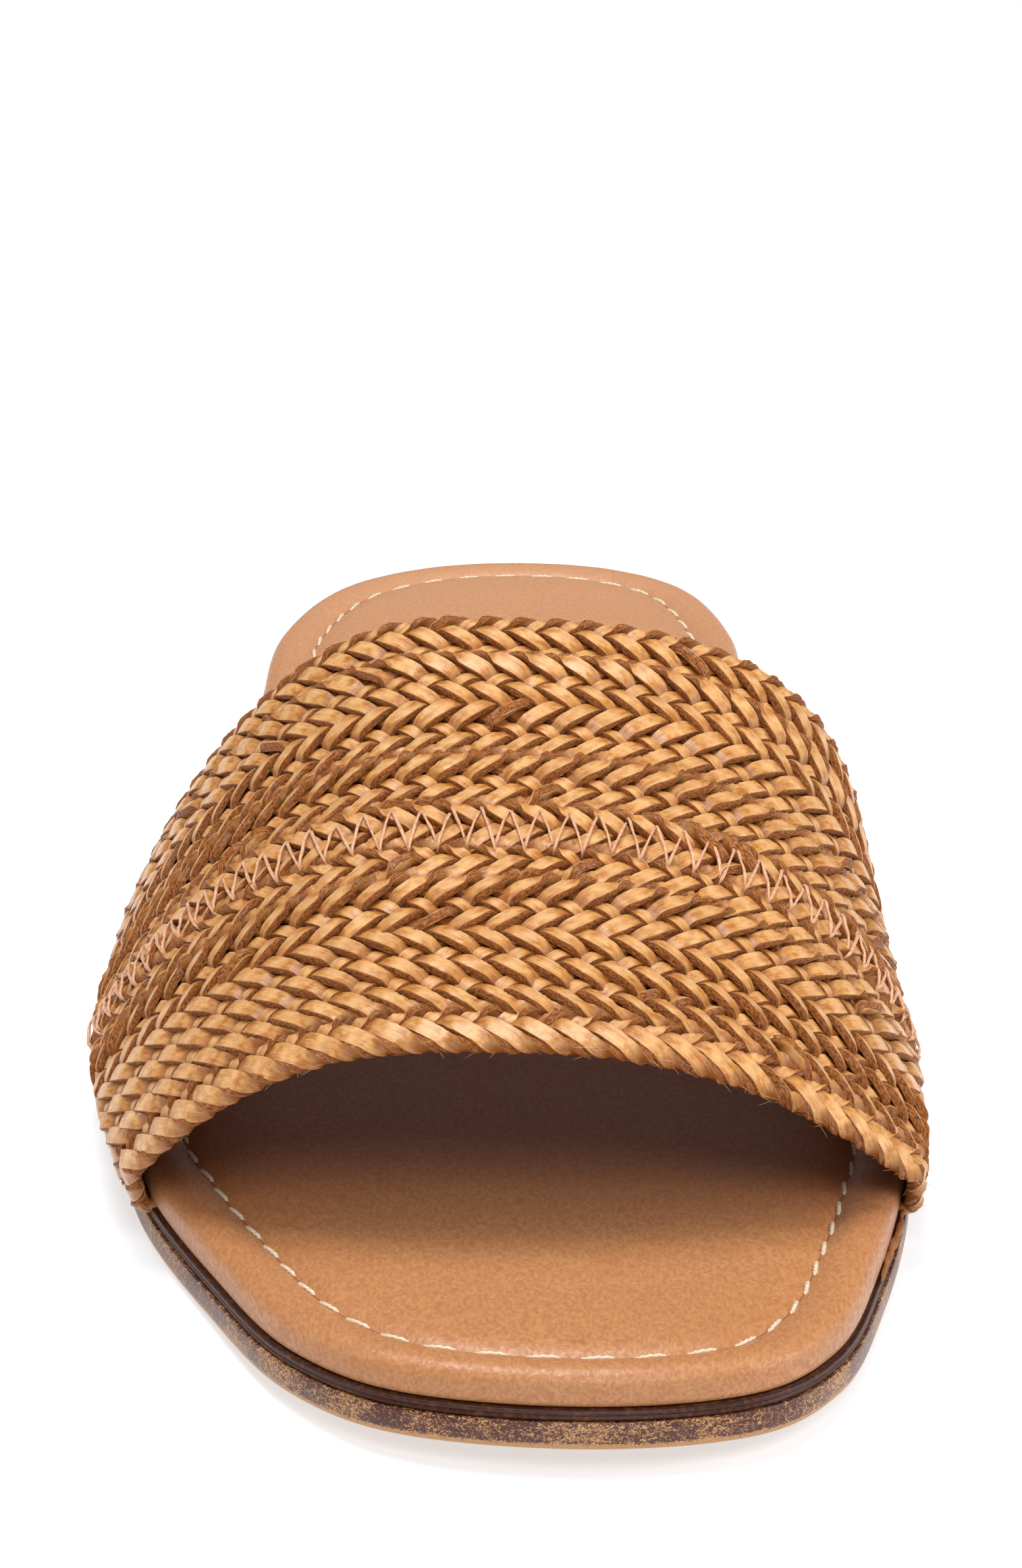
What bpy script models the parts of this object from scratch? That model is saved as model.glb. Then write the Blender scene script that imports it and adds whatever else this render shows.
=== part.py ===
"""Slide sandal for the right foot, with one wide plaited strap over a padded insole.

Five pieces: outsole, heel, welt, insole and upper. Metres, +Z up, toe towards -Y, inner (medial)
side of the foot towards +X. The origin lies on the floor under the middle of the sandal's box.
"""

import math
from collections import namedtuple

import bmesh
import bpy
import numpy as np

# Driving sizes of the last and the sole
LENGTH = 0.2552
BALL_WIDTH = 0.0916
HEEL_WIDTH = 0.0685
TOE_SPRING = 0.003
TOE_SPRING_LENGTH = 0.060
HEEL_HEIGHT = 0.008
HEEL_LENGTH = 0.064
ARCH_RISE_LENGTH = 0.058
FIT_GAP = 0.0003

# Thickness of each layer of the sole, and how far its edge stands in from the outsole's
OUTSOLE_THICKNESS = 0.0030
OUTSOLE_EDGE_BEVEL = 0.0009
WELT_THICKNESS = 0.0012
WELT_INSET = 0.0005
WELT_WIDTH = 0.0120
WELT_BEAD = 0.0003
INSOLE_THICKNESS = 0.0042
INSOLE_INSET = 0.0018
INSOLE_UNDERCUT = 0.0007
HEEL_TAPER = 0.0012
HEEL_EDGE_BEVEL = 0.0008

# The plaited strap: its top edge at the instep, its wall and the strips that stand out of it
INSTEP_HEIGHT = 0.0562
STRAP_WALL = 0.0024
STRIP_DEPTH = 0.0010
STRIPS_ACROSS = 34
STRAP_OVERHANG = 0.0015
STRAP_UPRIGHT = 0.0060
LASTING_WIDTH = 0.0085
LASTING_THICKNESS = 0.0012
LASTING_CLEARANCE = 0.0006

SOLE_STATIONS = 34
HEEL_STATIONS = 12
CURVE_STEPS = 24
UPRIGHT_STEPS = 8
ARCH_STEPS = 48
SLOPE_STEP = 0.004

# Outline of the outsole from toe to heel. along is a share of LENGTH, and lateral and medial are
# shares of the width named in each row, measured from the middle line of the last.
OutlineRow = namedtuple("OutlineRow", "along width lateral medial")
OUTLINE = (
    OutlineRow(0.000, "ball", -0.104, 0.104),
    OutlineRow(0.017, "ball", 0.134, 0.288),
    OutlineRow(0.057, "ball", 0.254, 0.376),
    OutlineRow(0.138, "ball", 0.362, 0.441),
    OutlineRow(0.239, "ball", 0.465, 0.491),
    OutlineRow(0.333, "ball", 0.502, 0.500),
    OutlineRow(0.451, "ball", 0.483, 0.467),
    OutlineRow(0.588, "ball", 0.428, 0.400),
    OutlineRow(0.745, "heel", 0.520, 0.483),
    OutlineRow(0.870, "heel", 0.491, 0.471),
    OutlineRow(0.952, "heel", 0.375, 0.378),
    OutlineRow(0.989, "heel", 0.200, 0.214),
    OutlineRow(1.000, "heel", 0.000, 0.000),
)

# Insole edge from its underside to the cushion inside the stitch line. height is a share of
# INSOLE_THICKNESS, and inset is in metres from the insole's own edge.
EdgeRow = namedtuple("EdgeRow", "inset height")
INSOLE_EDGE = (
    EdgeRow(0.0000, 0.20),
    EdgeRow(0.0000, 0.56),
    EdgeRow(0.0009, 0.86),
    EdgeRow(0.0027, 1.00),
    EdgeRow(0.0060, 0.97),
    EdgeRow(0.0082, 0.82),
    EdgeRow(0.0106, 0.94),
    EdgeRow(0.0165, 1.00),
)

# Sections of the strap, front edge to rear edge. crown_along and base places are shares of LENGTH
# from the toe, crown_height is a share of INSTEP_HEIGHT, crown_side a share of BALL_WIDTH. turn and
# rise are the powers of the cosine and sine that shape each side, bulge is a share of BALL_WIDTH.
StrapRow = namedtuple("StrapRow", "crown_along crown_height crown_side "
                      "lateral_base medial_base lateral_turn medial_turn "
                      "lateral_rise medial_rise lateral_bulge medial_bulge lean")
STRAP_FRONT = StrapRow(0.145, 0.577, -0.075, 0.233, 0.226, 0.87, 0.69, 1.85, 2.20, 0.003, 0.000, 0.83)
STRAP_MIDDLE = StrapRow(0.285, 0.794, -0.083, 0.365, 0.344, 0.94, 0.68, 1.80, 1.44, 0.024, 0.000, 1.26)
STRAP_REAR = StrapRow(0.426, 1.000, -0.091, 0.497, 0.462, 1.02, 0.67, 1.75, 0.68, 0.045, 0.000, 1.69)

# The plaited bands of the strap, front edge to rear edge. Each row of strips is "/" or "\" as its
# strips lean, and its number says how many crossings of the plait the strips pass over. start is
# the band's first shift along the strap, in pitches, which keeps the band's shifts near zero.
Band = namedtuple("Band", "start rows")
BANDS = (
    Band(0.5, (("\\", 2), ("/", 1))),
    Band(1.0, (("\\", 2), ("/", 1), ("\\", 2), ("/", 1), ("\\", 2), ("/", 2), ("\\", 1), ("/", 2))),
    Band(-0.5, (("/", 2), ("\\", 1))),
    Band(-0.5, (("/", 2), ("\\", 2))),
    Band(-1.0, (("/", 2), ("\\", 1), ("/", 2))),
    Band(-0.5, (("/", 2), ("\\", 1), ("/", 2), ("\\", 2), ("/", 1), ("\\", 2))),
    Band(0.0, (("/", 1), ("\\", 2), ("/", 1))),
)
SEAM = 0.0004

# Where a strip's back lies between its two grooves, as a share of the pitch, how many strips even
# out the slant at each base, and the depths of groove and back in shares of STRIP_DEPTH
STRIP_BACK = 0.35
EVENED_STRIPS = 4
Relief = namedtuple("Relief", "groove back")
AT_SEAM = Relief(1.0, 0.60)
AT_CROSSING = Relief(1.0, 0.55)
AT_MIDDLE = Relief(0.85, 0.0)
LINING_LINES = 8

# Colours as linear RGB, with roughness and metallic value
Finish = namedtuple("Finish", "colour roughness metallic")
FINISHES = {
    "outsole": Finish((0.110, 0.058, 0.032), 0.62, 0.0),
    "heel": Finish((0.110, 0.058, 0.032), 0.62, 0.0),
    "welt": Finish((0.052, 0.020, 0.012), 0.28, 0.0),
    "insole": Finish((0.560, 0.270, 0.110), 0.50, 0.0),
    "upper": Finish((0.440, 0.210, 0.070), 0.42, 0.0),
}

# Heights of the layers above the underside line of the outsole
WELT_BOTTOM = OUTSOLE_THICKNESS + FIT_GAP
WELT_TOP = WELT_BOTTOM + WELT_THICKNESS
SEAT = WELT_TOP + FIT_GAP
LASTING_TOP = SEAT + LASTING_THICKNESS
WIDTHS = {"ball": BALL_WIDTH, "heel": HEEL_WIDTH}


def smooth_curve(points, steps):
    """Points of a smooth curve that passes through the given ones, with steps between each two."""
    points = np.asarray(points, float)
    chord = np.sqrt(np.linalg.norm(np.diff(points, axis=0), axis=1))
    knots = np.concatenate([[0.0], np.cumsum(chord)])
    slopes = np.gradient(points, knots, axis=0, edge_order=1)
    curve = []
    for i in range(len(points) - 1):
        span = knots[i + 1] - knots[i]
        for k in range(steps):
            u = k / steps
            start = (1 + 2 * u) * (1 - u) ** 2 * points[i] + u * (1 - u) ** 2 * span * slopes[i]
            end = u * u * (3 - 2 * u) * points[i + 1] + u * u * (u - 1) * span * slopes[i + 1]
            curve.append(start + end)
    curve.append(points[-1])
    return np.array(curve)


def outline_curve():
    """The closed outline in plan, as side and depth from the toe: lateral side, heel, medial side."""
    lateral = [(-row.lateral * WIDTHS[row.width], row.along * LENGTH) for row in OUTLINE]
    medial = [(row.medial * WIDTHS[row.width], row.along * LENGTH) for row in OUTLINE[-2::-1]]
    ring = lateral + medial
    overlap = 3
    padded = ring[-1 - overlap:-1] + ring + ring[1:1 + overlap]
    curve = smooth_curve(padded, CURVE_STEPS)
    return curve[overlap * CURVE_STEPS:-overlap * CURVE_STEPS]


CURVE = outline_curve()
TOE = int(np.argmin(CURVE[:len(CURVE) // 4, 1]))
HEEL = int(np.argmax(CURVE[:, 1]))
TOE_DEPTH = CURVE[TOE, 1]
SOLE_SPAN = CURVE[HEEL, 1] - TOE_DEPTH


def edge_side(depth, side):
    """Where the outsole's edge lies at a depth from the toe: side -1 is lateral, +1 medial."""
    if side < 0:
        curve = CURVE[TOE:HEEL + 1]
        return np.interp(depth, curve[:, 1], curve[:, 0])
    curve = np.concatenate([CURVE[HEEL:], CURVE[1:TOE + 1]])[::-1]
    return np.interp(depth, curve[:, 1], curve[:, 0])


def edge_normal(depth, side):
    """Unit vector in plan that points from the outsole's edge towards its inside."""
    step = LENGTH / 2000
    low = min(max(depth - step, TOE_DEPTH), TOE_DEPTH + SOLE_SPAN - 2 * step)
    rise = (edge_side(low + 2 * step, side) - edge_side(low, side)) / (2 * step)
    normal = np.array([-side, side * rise])
    return normal / np.linalg.norm(normal)


def underside(depth):
    """Height of the outsole's underside: toe spring, flat forefoot, arch rise and heel."""
    from_toe = np.clip((TOE_SPRING_LENGTH - depth) / TOE_SPRING_LENGTH, 0.0, 1.0)
    rise_start = LENGTH - HEEL_LENGTH - ARCH_RISE_LENGTH
    rise = np.clip((depth - rise_start) / ARCH_RISE_LENGTH, 0.0, 1.0)
    return TOE_SPRING * from_toe ** 2 + (HEEL_HEIGHT + FIT_GAP) * rise * rise * (3 - 2 * rise)


def strap_value(name, across):
    """One column of the strap's table between its front edge (0) and its rear edge (1)."""
    front, middle, rear = (getattr(row, name) for row in (STRAP_FRONT, STRAP_MIDDLE, STRAP_REAR))
    return (front * (1 - across) * (1 - 2 * across) + 4 * middle * across * (1 - across)
            + rear * across * (2 * across - 1))


def strap_half(across, side):
    """One half of a section of the strap's outer face, from its base on the welt to its crown."""
    name = "lateral" if side < 0 else "medial"
    base_depth = strap_value(name + "_base", across) * LENGTH
    crown_depth = strap_value("crown_along", across) * LENGTH
    crown_height = strap_value("crown_height", across) * INSTEP_HEIGHT
    crown_side = strap_value("crown_side", across) * BALL_WIDTH
    bulge = strap_value(name + "_bulge", across) * BALL_WIDTH
    base_side = edge_side(base_depth, side) + side * STRAP_OVERHANG
    widest_height = SEAT + STRAP_UPRIGHT
    foot = np.linspace(0.0, 1.0, UPRIGHT_STEPS + 1)[:-1]
    turn = np.linspace(0.0, math.pi / 2, ARCH_STEPS)
    reach = abs(base_side + side * bulge - crown_side)
    flank = crown_side + side * reach * np.cos(turn) ** strap_value(name + "_turn", across)
    rise = widest_height + (crown_height - widest_height) * np.sin(turn) ** strap_value(
        name + "_rise", across)
    sides = np.concatenate([base_side + side * bulge * np.sin(foot * math.pi / 2), flank])
    heights = np.concatenate([SEAT + STRAP_UPRIGHT * foot, rise])
    climb = np.clip((heights - SEAT) / (crown_height - SEAT), 0.0, 1.0)
    depths = base_depth + (crown_depth - base_depth) * climb ** strap_value("lean", across)
    return np.stack([sides, depths, heights], axis=1)


def strap_arch(across):
    """A whole section of the strap's outer face, lateral base to medial base."""
    return np.concatenate([strap_half(across, -1), strap_half(across, 1)[::-1][1:]])


def strap_line(across, shares):
    """Points of a section at shares of its length, 0 at the lateral base and 1 at the medial."""
    arch = strap_arch(across)
    run = np.concatenate([[0.0], np.cumsum(np.linalg.norm(np.diff(arch, axis=0), axis=1))])
    return np.stack([np.interp(np.asarray(shares) * run[-1], run, arch[:, k]) for k in range(3)],
                    axis=1)


def strap_normals(across, shares):
    """Unit vectors that point out of the strap at shares of a section's length."""
    step = SLOPE_STEP
    shares = np.asarray(shares)
    along = (strap_line(across, np.clip(shares + step, 0, 1))
             - strap_line(across, np.clip(shares - step, 0, 1)))
    back = (strap_line(min(across + step, 1.0), shares)
            - strap_line(max(across - step, 0.0), shares))
    normals = np.cross(along, back)
    return normals / np.linalg.norm(normals, axis=1)[:, None]


def share_at_height(across, height, side):
    """Share of a section's length at which one side of the strap first reaches a height."""
    arch = strap_arch(across)
    run = np.concatenate([[0.0], np.cumsum(np.linalg.norm(np.diff(arch, axis=0), axis=1))])
    if side < 0:
        rising = slice(0, ARCH_STEPS)
        return np.interp(height, arch[rising, 2], run[rising]) / run[-1]
    falling = slice(len(arch) - ARCH_STEPS, len(arch))
    return np.interp(height, arch[falling, 2][::-1], run[falling][::-1]) / run[-1]


def place(points):
    """Turns side, depth from the toe and height into the sandal's own X, Y and Z."""
    points = np.asarray(points, float)
    return np.stack([points[:, 0], points[:, 1] - TOE_DEPTH - SOLE_SPAN / 2, points[:, 2]], axis=1)


def add_ring(bm, points):
    """Vertices of one section."""
    return [bm.verts.new(point) for point in place(points)]


def bridge(bm, first, second, closed=True):
    """Quads between two sections with the same number of points."""
    count = len(first) if closed else len(first) - 1
    for i in range(count):
        j = (i + 1) % len(first)
        bm.faces.new((first[i], first[j], second[j], second[i]))


def zip_chains(bm, first, second):
    """Triangles between two open chains of unlike numbers of points."""
    i = 0
    j = 0
    while i < len(first) - 1 or j < len(second) - 1:
        next_first = (i + 1) / (len(first) - 1)
        next_second = (j + 1) / (len(second) - 1)
        if j == len(second) - 1 or (i < len(first) - 1 and next_first <= next_second):
            bm.faces.new((first[i], first[i + 1], second[j]))
            i += 1
        else:
            bm.faces.new((first[i], second[j + 1], second[j]))
            j += 1


def close_across(bm, lateral, medial):
    """Strips from a ring's lateral side to its medial side; the two may share their end points."""
    for i in range(len(lateral) - 1):
        corners = [lateral[i], lateral[i + 1], medial[i + 1], medial[i]]
        bm.faces.new([v for k, v in enumerate(corners) if v not in corners[:k]])


def finish_object(name, bm):
    """Makes the named object of a closed bmesh, with its own material and crisp shading."""
    bmesh.ops.recalc_face_normals(bm, faces=bm.faces)
    mesh = bpy.data.meshes.new(name)
    bm.to_mesh(mesh)
    bm.free()
    mesh.shade_smooth()
    mesh.set_sharp_from_angle(angle=math.radians(32))
    material = bpy.data.materials.new(name)
    material.use_nodes = True
    shader = material.node_tree.nodes["Principled BSDF"]
    finish = FINISHES[name]
    shader.inputs["Base Color"].default_value = (*finish.colour, 1.0)
    shader.inputs["Roughness"].default_value = finish.roughness
    shader.inputs["Metallic"].default_value = finish.metallic
    mesh.materials.append(material)
    obj = bpy.data.objects.new(name, mesh)
    bpy.data.collections["slide_sandal"].objects.link(obj)
    return obj


def lasting_ends():
    """Depths from the toe between which the strap's lasting margin lies under the insole. The
    strap leans towards the toe as it climbs, so its front is read where it leaves the margin."""
    front = min(strap_line(0.0, [share_at_height(0.0, LASTING_TOP + FIT_GAP, side)])[0][1]
                for side in (-1, 1))
    rear = max(STRAP_REAR.lateral_base, STRAP_REAR.medial_base) * LENGTH
    return front - LASTING_CLEARANCE, rear + LASTING_CLEARANCE


def sole_depths():
    """Depths of the sole's stations: close together at toe and heel, and at the lasting margin."""
    turn = np.linspace(0.0, math.pi, SOLE_STATIONS + 1)
    depths = list(TOE_DEPTH + SOLE_SPAN * (1 - np.cos(turn)) / 2)
    front, rear = lasting_ends()
    wall = LASTING_CLEARANCE / 2
    marks = [front - wall, front, rear, rear + wall]
    apart = SOLE_SPAN / SOLE_STATIONS / 3
    depths = [d for d in depths if all(abs(d - mark) > apart for mark in marks)]
    return sorted(depths + marks)


def sole_ring(depths, inset, heights):
    """One ring of the sole, set in from the outsole's edge. It starts at the toe tip, runs down
    the lateral side to the heel and back up the medial side."""
    half = [(depth, -1) for depth in depths] + [(depth, 1) for depth in depths[-2:0:-1]]
    points = []
    for depth, side in half:
        normal = edge_normal(depth, side)
        if depth == depths[0]:
            normal = np.array([0.0, 1.0])
        if depth == depths[-1]:
            normal = np.array([0.0, -1.0])
        point = np.array([edge_side(depth, side), depth]) + normal * inset
        height = heights(depth) if callable(heights) else heights
        points.append((point[0], point[1], underside(point[1]) + height))
    return points


def build_layer(bm, sections):
    """A sole layer closed across its first and its last ring, with the rings bridged between."""
    depths = sole_depths()
    rings = [add_ring(bm, sole_ring(depths, inset, heights)) for inset, heights in sections]
    for first, second in zip(rings, rings[1:]):
        bridge(bm, first, second)
    half = len(depths)
    for ring in (rings[0], rings[-1]):
        close_across(bm, ring[:half], ring[:1] + ring[:half - 2:-1])


def make_outsole():
    """Full-length outsole with a bevelled lower edge."""
    bm = bmesh.new()
    build_layer(bm, (
        (OUTSOLE_EDGE_BEVEL, 0.0),
        (OUTSOLE_EDGE_BEVEL / 4, OUTSOLE_EDGE_BEVEL * 3 / 4),
        (0.0, OUTSOLE_EDGE_BEVEL * 3 / 2),
        (0.0, OUTSOLE_THICKNESS),
    ))
    return finish_object("outsole", bm)


def make_welt():
    """Strip that runs round the sole between outsole and insole, with a small bead at its edge."""
    bm = bmesh.new()
    depths = sole_depths()
    middle = (WELT_BOTTOM + WELT_TOP) / 2
    sections = (
        (WELT_INSET + WELT_BEAD, WELT_BOTTOM),
        (WELT_INSET, (WELT_BOTTOM + middle) / 2),
        (WELT_INSET + WELT_BEAD, middle + WELT_BEAD / 2),
        (WELT_INSET + WELT_BEAD, WELT_TOP),
        (WELT_INSET + WELT_WIDTH, WELT_TOP),
        (WELT_INSET + WELT_WIDTH, WELT_BOTTOM),
    )
    rings = [add_ring(bm, sole_ring(depths, inset, height)) for inset, height in sections]
    for first, second in zip(rings, rings[1:] + rings[:1]):
        bridge(bm, first, second)
    return finish_object("welt", bm)


def make_insole():
    """Padded insole with a rolled rim. Its underside is rebated over the strap's lasting margin
    and steps down inside the welt."""
    bm = bmesh.new()
    front, rear = lasting_ends()

    def over_margin(depth):
        rebated = front <= depth <= rear
        return LASTING_TOP + FIT_GAP if rebated else SEAT

    def edge_height(share):
        def height(depth):
            low = over_margin(depth)
            return low + share * (SEAT + INSOLE_THICKNESS - low)
        return height

    rebate = STRAP_WALL - STRAP_OVERHANG + LASTING_WIDTH + LASTING_CLEARANCE
    inside_welt = WELT_INSET + WELT_WIDTH + FIT_GAP
    sections = [
        (inside_welt + FIT_GAP, WELT_BOTTOM),
        (inside_welt, SEAT),
        (rebate + FIT_GAP, SEAT),
        (rebate, over_margin),
        (INSOLE_INSET + INSOLE_UNDERCUT, over_margin),
    ]
    for row in INSOLE_EDGE:
        sections.append((INSOLE_INSET + row.inset, edge_height(row.height)))
    build_layer(bm, sections)
    return finish_object("insole", bm)


def make_heel():
    """Low heel block under the back of the outsole, tapered to its bevelled ground edge."""
    bm = bmesh.new()
    breast = TOE_DEPTH + SOLE_SPAN - HEEL_LENGTH
    turn = np.linspace(0.0, math.pi / 2, HEEL_STATIONS + 1)
    depths = [breast + HEEL_LENGTH * math.sin(angle) for angle in turn]
    sections = (
        (HEEL_TAPER + HEEL_EDGE_BEVEL, 0.0),
        (HEEL_TAPER, HEEL_EDGE_BEVEL),
        (WELT_INSET, HEEL_HEIGHT),
    )
    rings = []
    for inset, height in sections:
        points = []
        for side, run in ((-1, depths), (1, depths[-2::-1])):
            for depth in run:
                normal = edge_normal(depth, side)
                if depth == depths[-1]:
                    normal = np.array([0.0, -1.0])
                if depth == depths[0]:
                    normal = np.array([-side, 0.0])
                point = np.array([edge_side(depth, side), depth]) + normal * inset
                points.append((point[0], point[1], height))
        rings.append(add_ring(bm, points))
    for first, second in zip(rings, rings[1:]):
        bridge(bm, first, second)
    half = len(depths)
    for ring in (rings[0], rings[-1]):
        close_across(bm, ring[:half], ring[:half - 2:-1])
    return finish_object("heel", bm)


def plait_lines():
    """Lines of the strap's outer grid: place across the strap, shift of the strips along it in
    pitches, and the relief of the strips there."""
    crossings = sum(count for band in BANDS for lean, count in band.rows)
    band_width = (STRAP_REAR.crown_along - STRAP_FRONT.crown_along) * LENGTH
    seam = SEAM / band_width
    lines = []
    passed = 0
    for band in BANDS:
        shift = band.start
        lines.append((passed / crossings + seam / 2, shift, AT_SEAM))
        for lean, count in band.rows:
            step = (count if lean == "/" else -count) / 2
            if count > 1:
                lines.append(((passed + count / 2) / crossings, shift + step / 2, AT_MIDDLE))
            passed += count
            shift += step
            lines.append((passed / crossings, shift, AT_CROSSING))
        lines[-1] = (passed / crossings - seam / 2, shift, AT_SEAM)
    lines[0] = (0.0, *lines[0][1:])
    lines[-1] = (1.0, *lines[-1][1:])
    return lines


def make_upper():
    """The plaited strap as one open arch: strips raised on its outer face, a plain lining face,
    and a lasting margin that turns in under the insole on both sides."""
    bm = bmesh.new()
    columns = np.arange(2 * STRIPS_ACROSS + 1)
    fade = np.clip(np.minimum(columns, columns[::-1]) / (2 * EVENED_STRIPS), 0.0, 1.0)
    outer = []
    for across, shift, relief in plait_lines():
        leaves = columns / 2 + np.where(columns % 2, STRIP_BACK - 0.5, 0.0) + shift * fade
        leaves[0] = 0.0
        leaves[-1] = STRIPS_ACROSS
        shares = leaves / STRIPS_ACROSS
        below = np.where(columns % 2, relief.back, relief.groove) * STRIP_DEPTH
        points = strap_line(across, shares) - strap_normals(across, shares) * below[:, None]
        points[0] = strap_line(across, [0.0])[0]
        points[-1] = strap_line(across, [1.0])[0]
        outer.append(add_ring(bm, points))
    inner = []
    margins = {-1: ([], []), 1: ([], [])}
    for across in np.linspace(0.0, 1.0, LINING_LINES):
        low = share_at_height(across, LASTING_TOP, -1)
        high = share_at_height(across, LASTING_TOP, 1)
        shares = np.linspace(low, high, STRIPS_ACROSS + 1)
        points = strap_line(across, shares) - strap_normals(across, shares) * STRAP_WALL
        for end in (0, -1):
            points[end, 2] = LASTING_TOP
        inner.append(add_ring(bm, points))
        for side in (-1, 1):
            base = strap_line(across, [0.0 if side < 0 else 1.0])[0]
            reach = base[:2] + edge_normal(base[1], side) * (STRAP_WALL + LASTING_WIDTH)
            margins[side][0].extend(add_ring(bm, [(*reach, SEAT)]))
            margins[side][1].extend(add_ring(bm, [(*reach, LASTING_TOP)]))
    for first, second in zip(outer, outer[1:]):
        bridge(bm, first, second, closed=False)
    for first, second in zip(inner, inner[1:]):
        bridge(bm, first, second, closed=False)
    zip_chains(bm, outer[0], inner[0])
    zip_chains(bm, outer[-1], inner[-1])
    for side, end in ((-1, 0), (1, -1)):
        under, over = margins[side]
        wall_foot = [line[end] for line in outer]
        lining_foot = [line[end] for line in inner]
        zip_chains(bm, wall_foot, under)
        bridge(bm, under, over, closed=False)
        bridge(bm, over, lining_foot, closed=False)
        for tip in (0, -1):
            bm.faces.new((wall_foot[tip], under[tip], over[tip], lining_foot[tip]))
    bmesh.ops.triangulate(bm, faces=bm.faces)
    return finish_object("upper", bm)


def centre_on_origin(objects):
    """Moves all pieces together so that the middle of their box lies over the origin."""
    sides = [vertex.co.x for obj in objects for vertex in obj.data.vertices]
    middle = (min(sides) + max(sides)) / 2
    for obj in objects:
        for vertex in obj.data.vertices:
            vertex.co.x -= middle


def main():
    for obj in list(bpy.data.objects):
        bpy.data.objects.remove(obj, do_unlink=True)
    collection = bpy.data.collections.new("slide_sandal")
    bpy.context.scene.collection.children.link(collection)
    pieces = [make_outsole(), make_heel(), make_welt(), make_insole(), make_upper()]
    centre_on_origin(pieces)
    for piece in pieces:
        faces = sum(len(polygon.vertices) - 2 for polygon in piece.data.polygons)
        print(piece.name, faces, "triangles")


main()
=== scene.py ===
# %% [markdown]
# # A plaited slide sandal
# A slide is one of the simplest shoes: a stiff outsole with a low heel, a thin welt strip, a padded
# leather insole and a single wide strap. This one has a strap sewn up from seven plaits of waxed
# raffia tape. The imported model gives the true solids. This script dresses them with tape strands
# that really pass over and under each other, with stitches, leather grain and a burnished edge.

# %% Load the fixed frame
import math

import bmesh
import bpy
import numpy as np
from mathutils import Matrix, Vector


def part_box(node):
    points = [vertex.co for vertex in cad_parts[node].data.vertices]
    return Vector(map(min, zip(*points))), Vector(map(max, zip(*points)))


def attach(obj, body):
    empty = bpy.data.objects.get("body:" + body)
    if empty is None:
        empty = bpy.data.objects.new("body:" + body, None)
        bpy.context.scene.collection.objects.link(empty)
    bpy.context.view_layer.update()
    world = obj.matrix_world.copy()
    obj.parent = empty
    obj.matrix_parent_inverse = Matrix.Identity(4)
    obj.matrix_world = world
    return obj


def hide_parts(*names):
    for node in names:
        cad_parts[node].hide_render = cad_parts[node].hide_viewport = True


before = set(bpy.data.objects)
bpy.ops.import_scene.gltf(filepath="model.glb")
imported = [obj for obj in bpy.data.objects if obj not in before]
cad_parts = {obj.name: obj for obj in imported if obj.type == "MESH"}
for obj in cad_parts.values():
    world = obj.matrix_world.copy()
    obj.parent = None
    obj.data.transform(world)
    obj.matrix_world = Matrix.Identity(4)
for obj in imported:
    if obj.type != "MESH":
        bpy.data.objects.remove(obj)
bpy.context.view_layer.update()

MM = 0.001

# %% [markdown]
# ## The last in plan
# Every sole layer follows one outline, so it is written once, as a short table of half widths, and
# all layers are set in from it. A traced curve object would do as well, but a table of shares of
# the foot's length and width is how a last maker notes a last, and it can be checked against the
# frame.

# %% Outline of the sole
LENGTH = 255.2 * MM
WIDTHS = {"ball": 91.6 * MM, "heel": 68.5 * MM}
# along is a share of LENGTH; the half widths are shares of the width named in the row
OUTLINE = (
    (0.000, "ball", -0.104, 0.104), (0.017, "ball", 0.134, 0.288), (0.057, "ball", 0.254, 0.376),
    (0.138, "ball", 0.362, 0.441), (0.239, "ball", 0.465, 0.491), (0.333, "ball", 0.502, 0.500),
    (0.451, "ball", 0.483, 0.467), (0.588, "ball", 0.428, 0.400), (0.745, "heel", 0.520, 0.483),
    (0.870, "heel", 0.491, 0.471), (0.952, "heel", 0.375, 0.378), (0.989, "heel", 0.200, 0.214),
    (1.000, "heel", 0.000, 0.000),
)
CURVE_STEPS = 24


def smooth_curve(points, steps):
    """A smooth curve through the points, with steps between each two."""
    points = np.asarray(points, float)
    chord = np.sqrt(np.linalg.norm(np.diff(points, axis=0), axis=1))
    knots = np.concatenate([[0.0], np.cumsum(chord)])
    slopes = np.gradient(points, knots, axis=0, edge_order=1)
    curve = []
    for i in range(len(points) - 1):
        span = knots[i + 1] - knots[i]
        for k in range(steps):
            u = k / steps
            start = (1 + 2 * u) * (1 - u) ** 2 * points[i] + u * (1 - u) ** 2 * span * slopes[i]
            end = u * u * (3 - 2 * u) * points[i + 1] + u * u * (u - 1) * span * slopes[i + 1]
            curve.append(start + end)
    curve.append(points[-1])
    return np.array(curve)


def run_of(points):
    """Length of a line of points from its start to each of them."""
    return np.concatenate([[0.0], np.cumsum(np.linalg.norm(np.diff(points, axis=0), axis=1))])


lateral = [(-row[2] * WIDTHS[row[1]], row[0] * LENGTH) for row in OUTLINE]
medial = [(row[3] * WIDTHS[row[1]], row[0] * LENGTH) for row in OUTLINE[-2::-1]]
loop = lateral + medial
EDGE = smooth_curve(loop[-4:-1] + loop + loop[1:4], CURVE_STEPS)[3 * CURVE_STEPS:-3 * CURVE_STEPS]
TOE = int(np.argmin(EDGE[:len(EDGE) // 4, 1]))
HEEL = int(np.argmax(EDGE[:, 1]))
TOE_DEPTH = EDGE[TOE, 1]
SPAN = EDGE[HEEL, 1] - TOE_DEPTH
# The frame is centred on its own box, so the sideways shift is read from it
SIDE_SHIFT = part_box("outsole")[0].x - EDGE[:, 0].min()
print("sole", round(SPAN / MM, 1), "mm long, side shift", round(SIDE_SHIFT / MM, 2), "mm")

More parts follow.
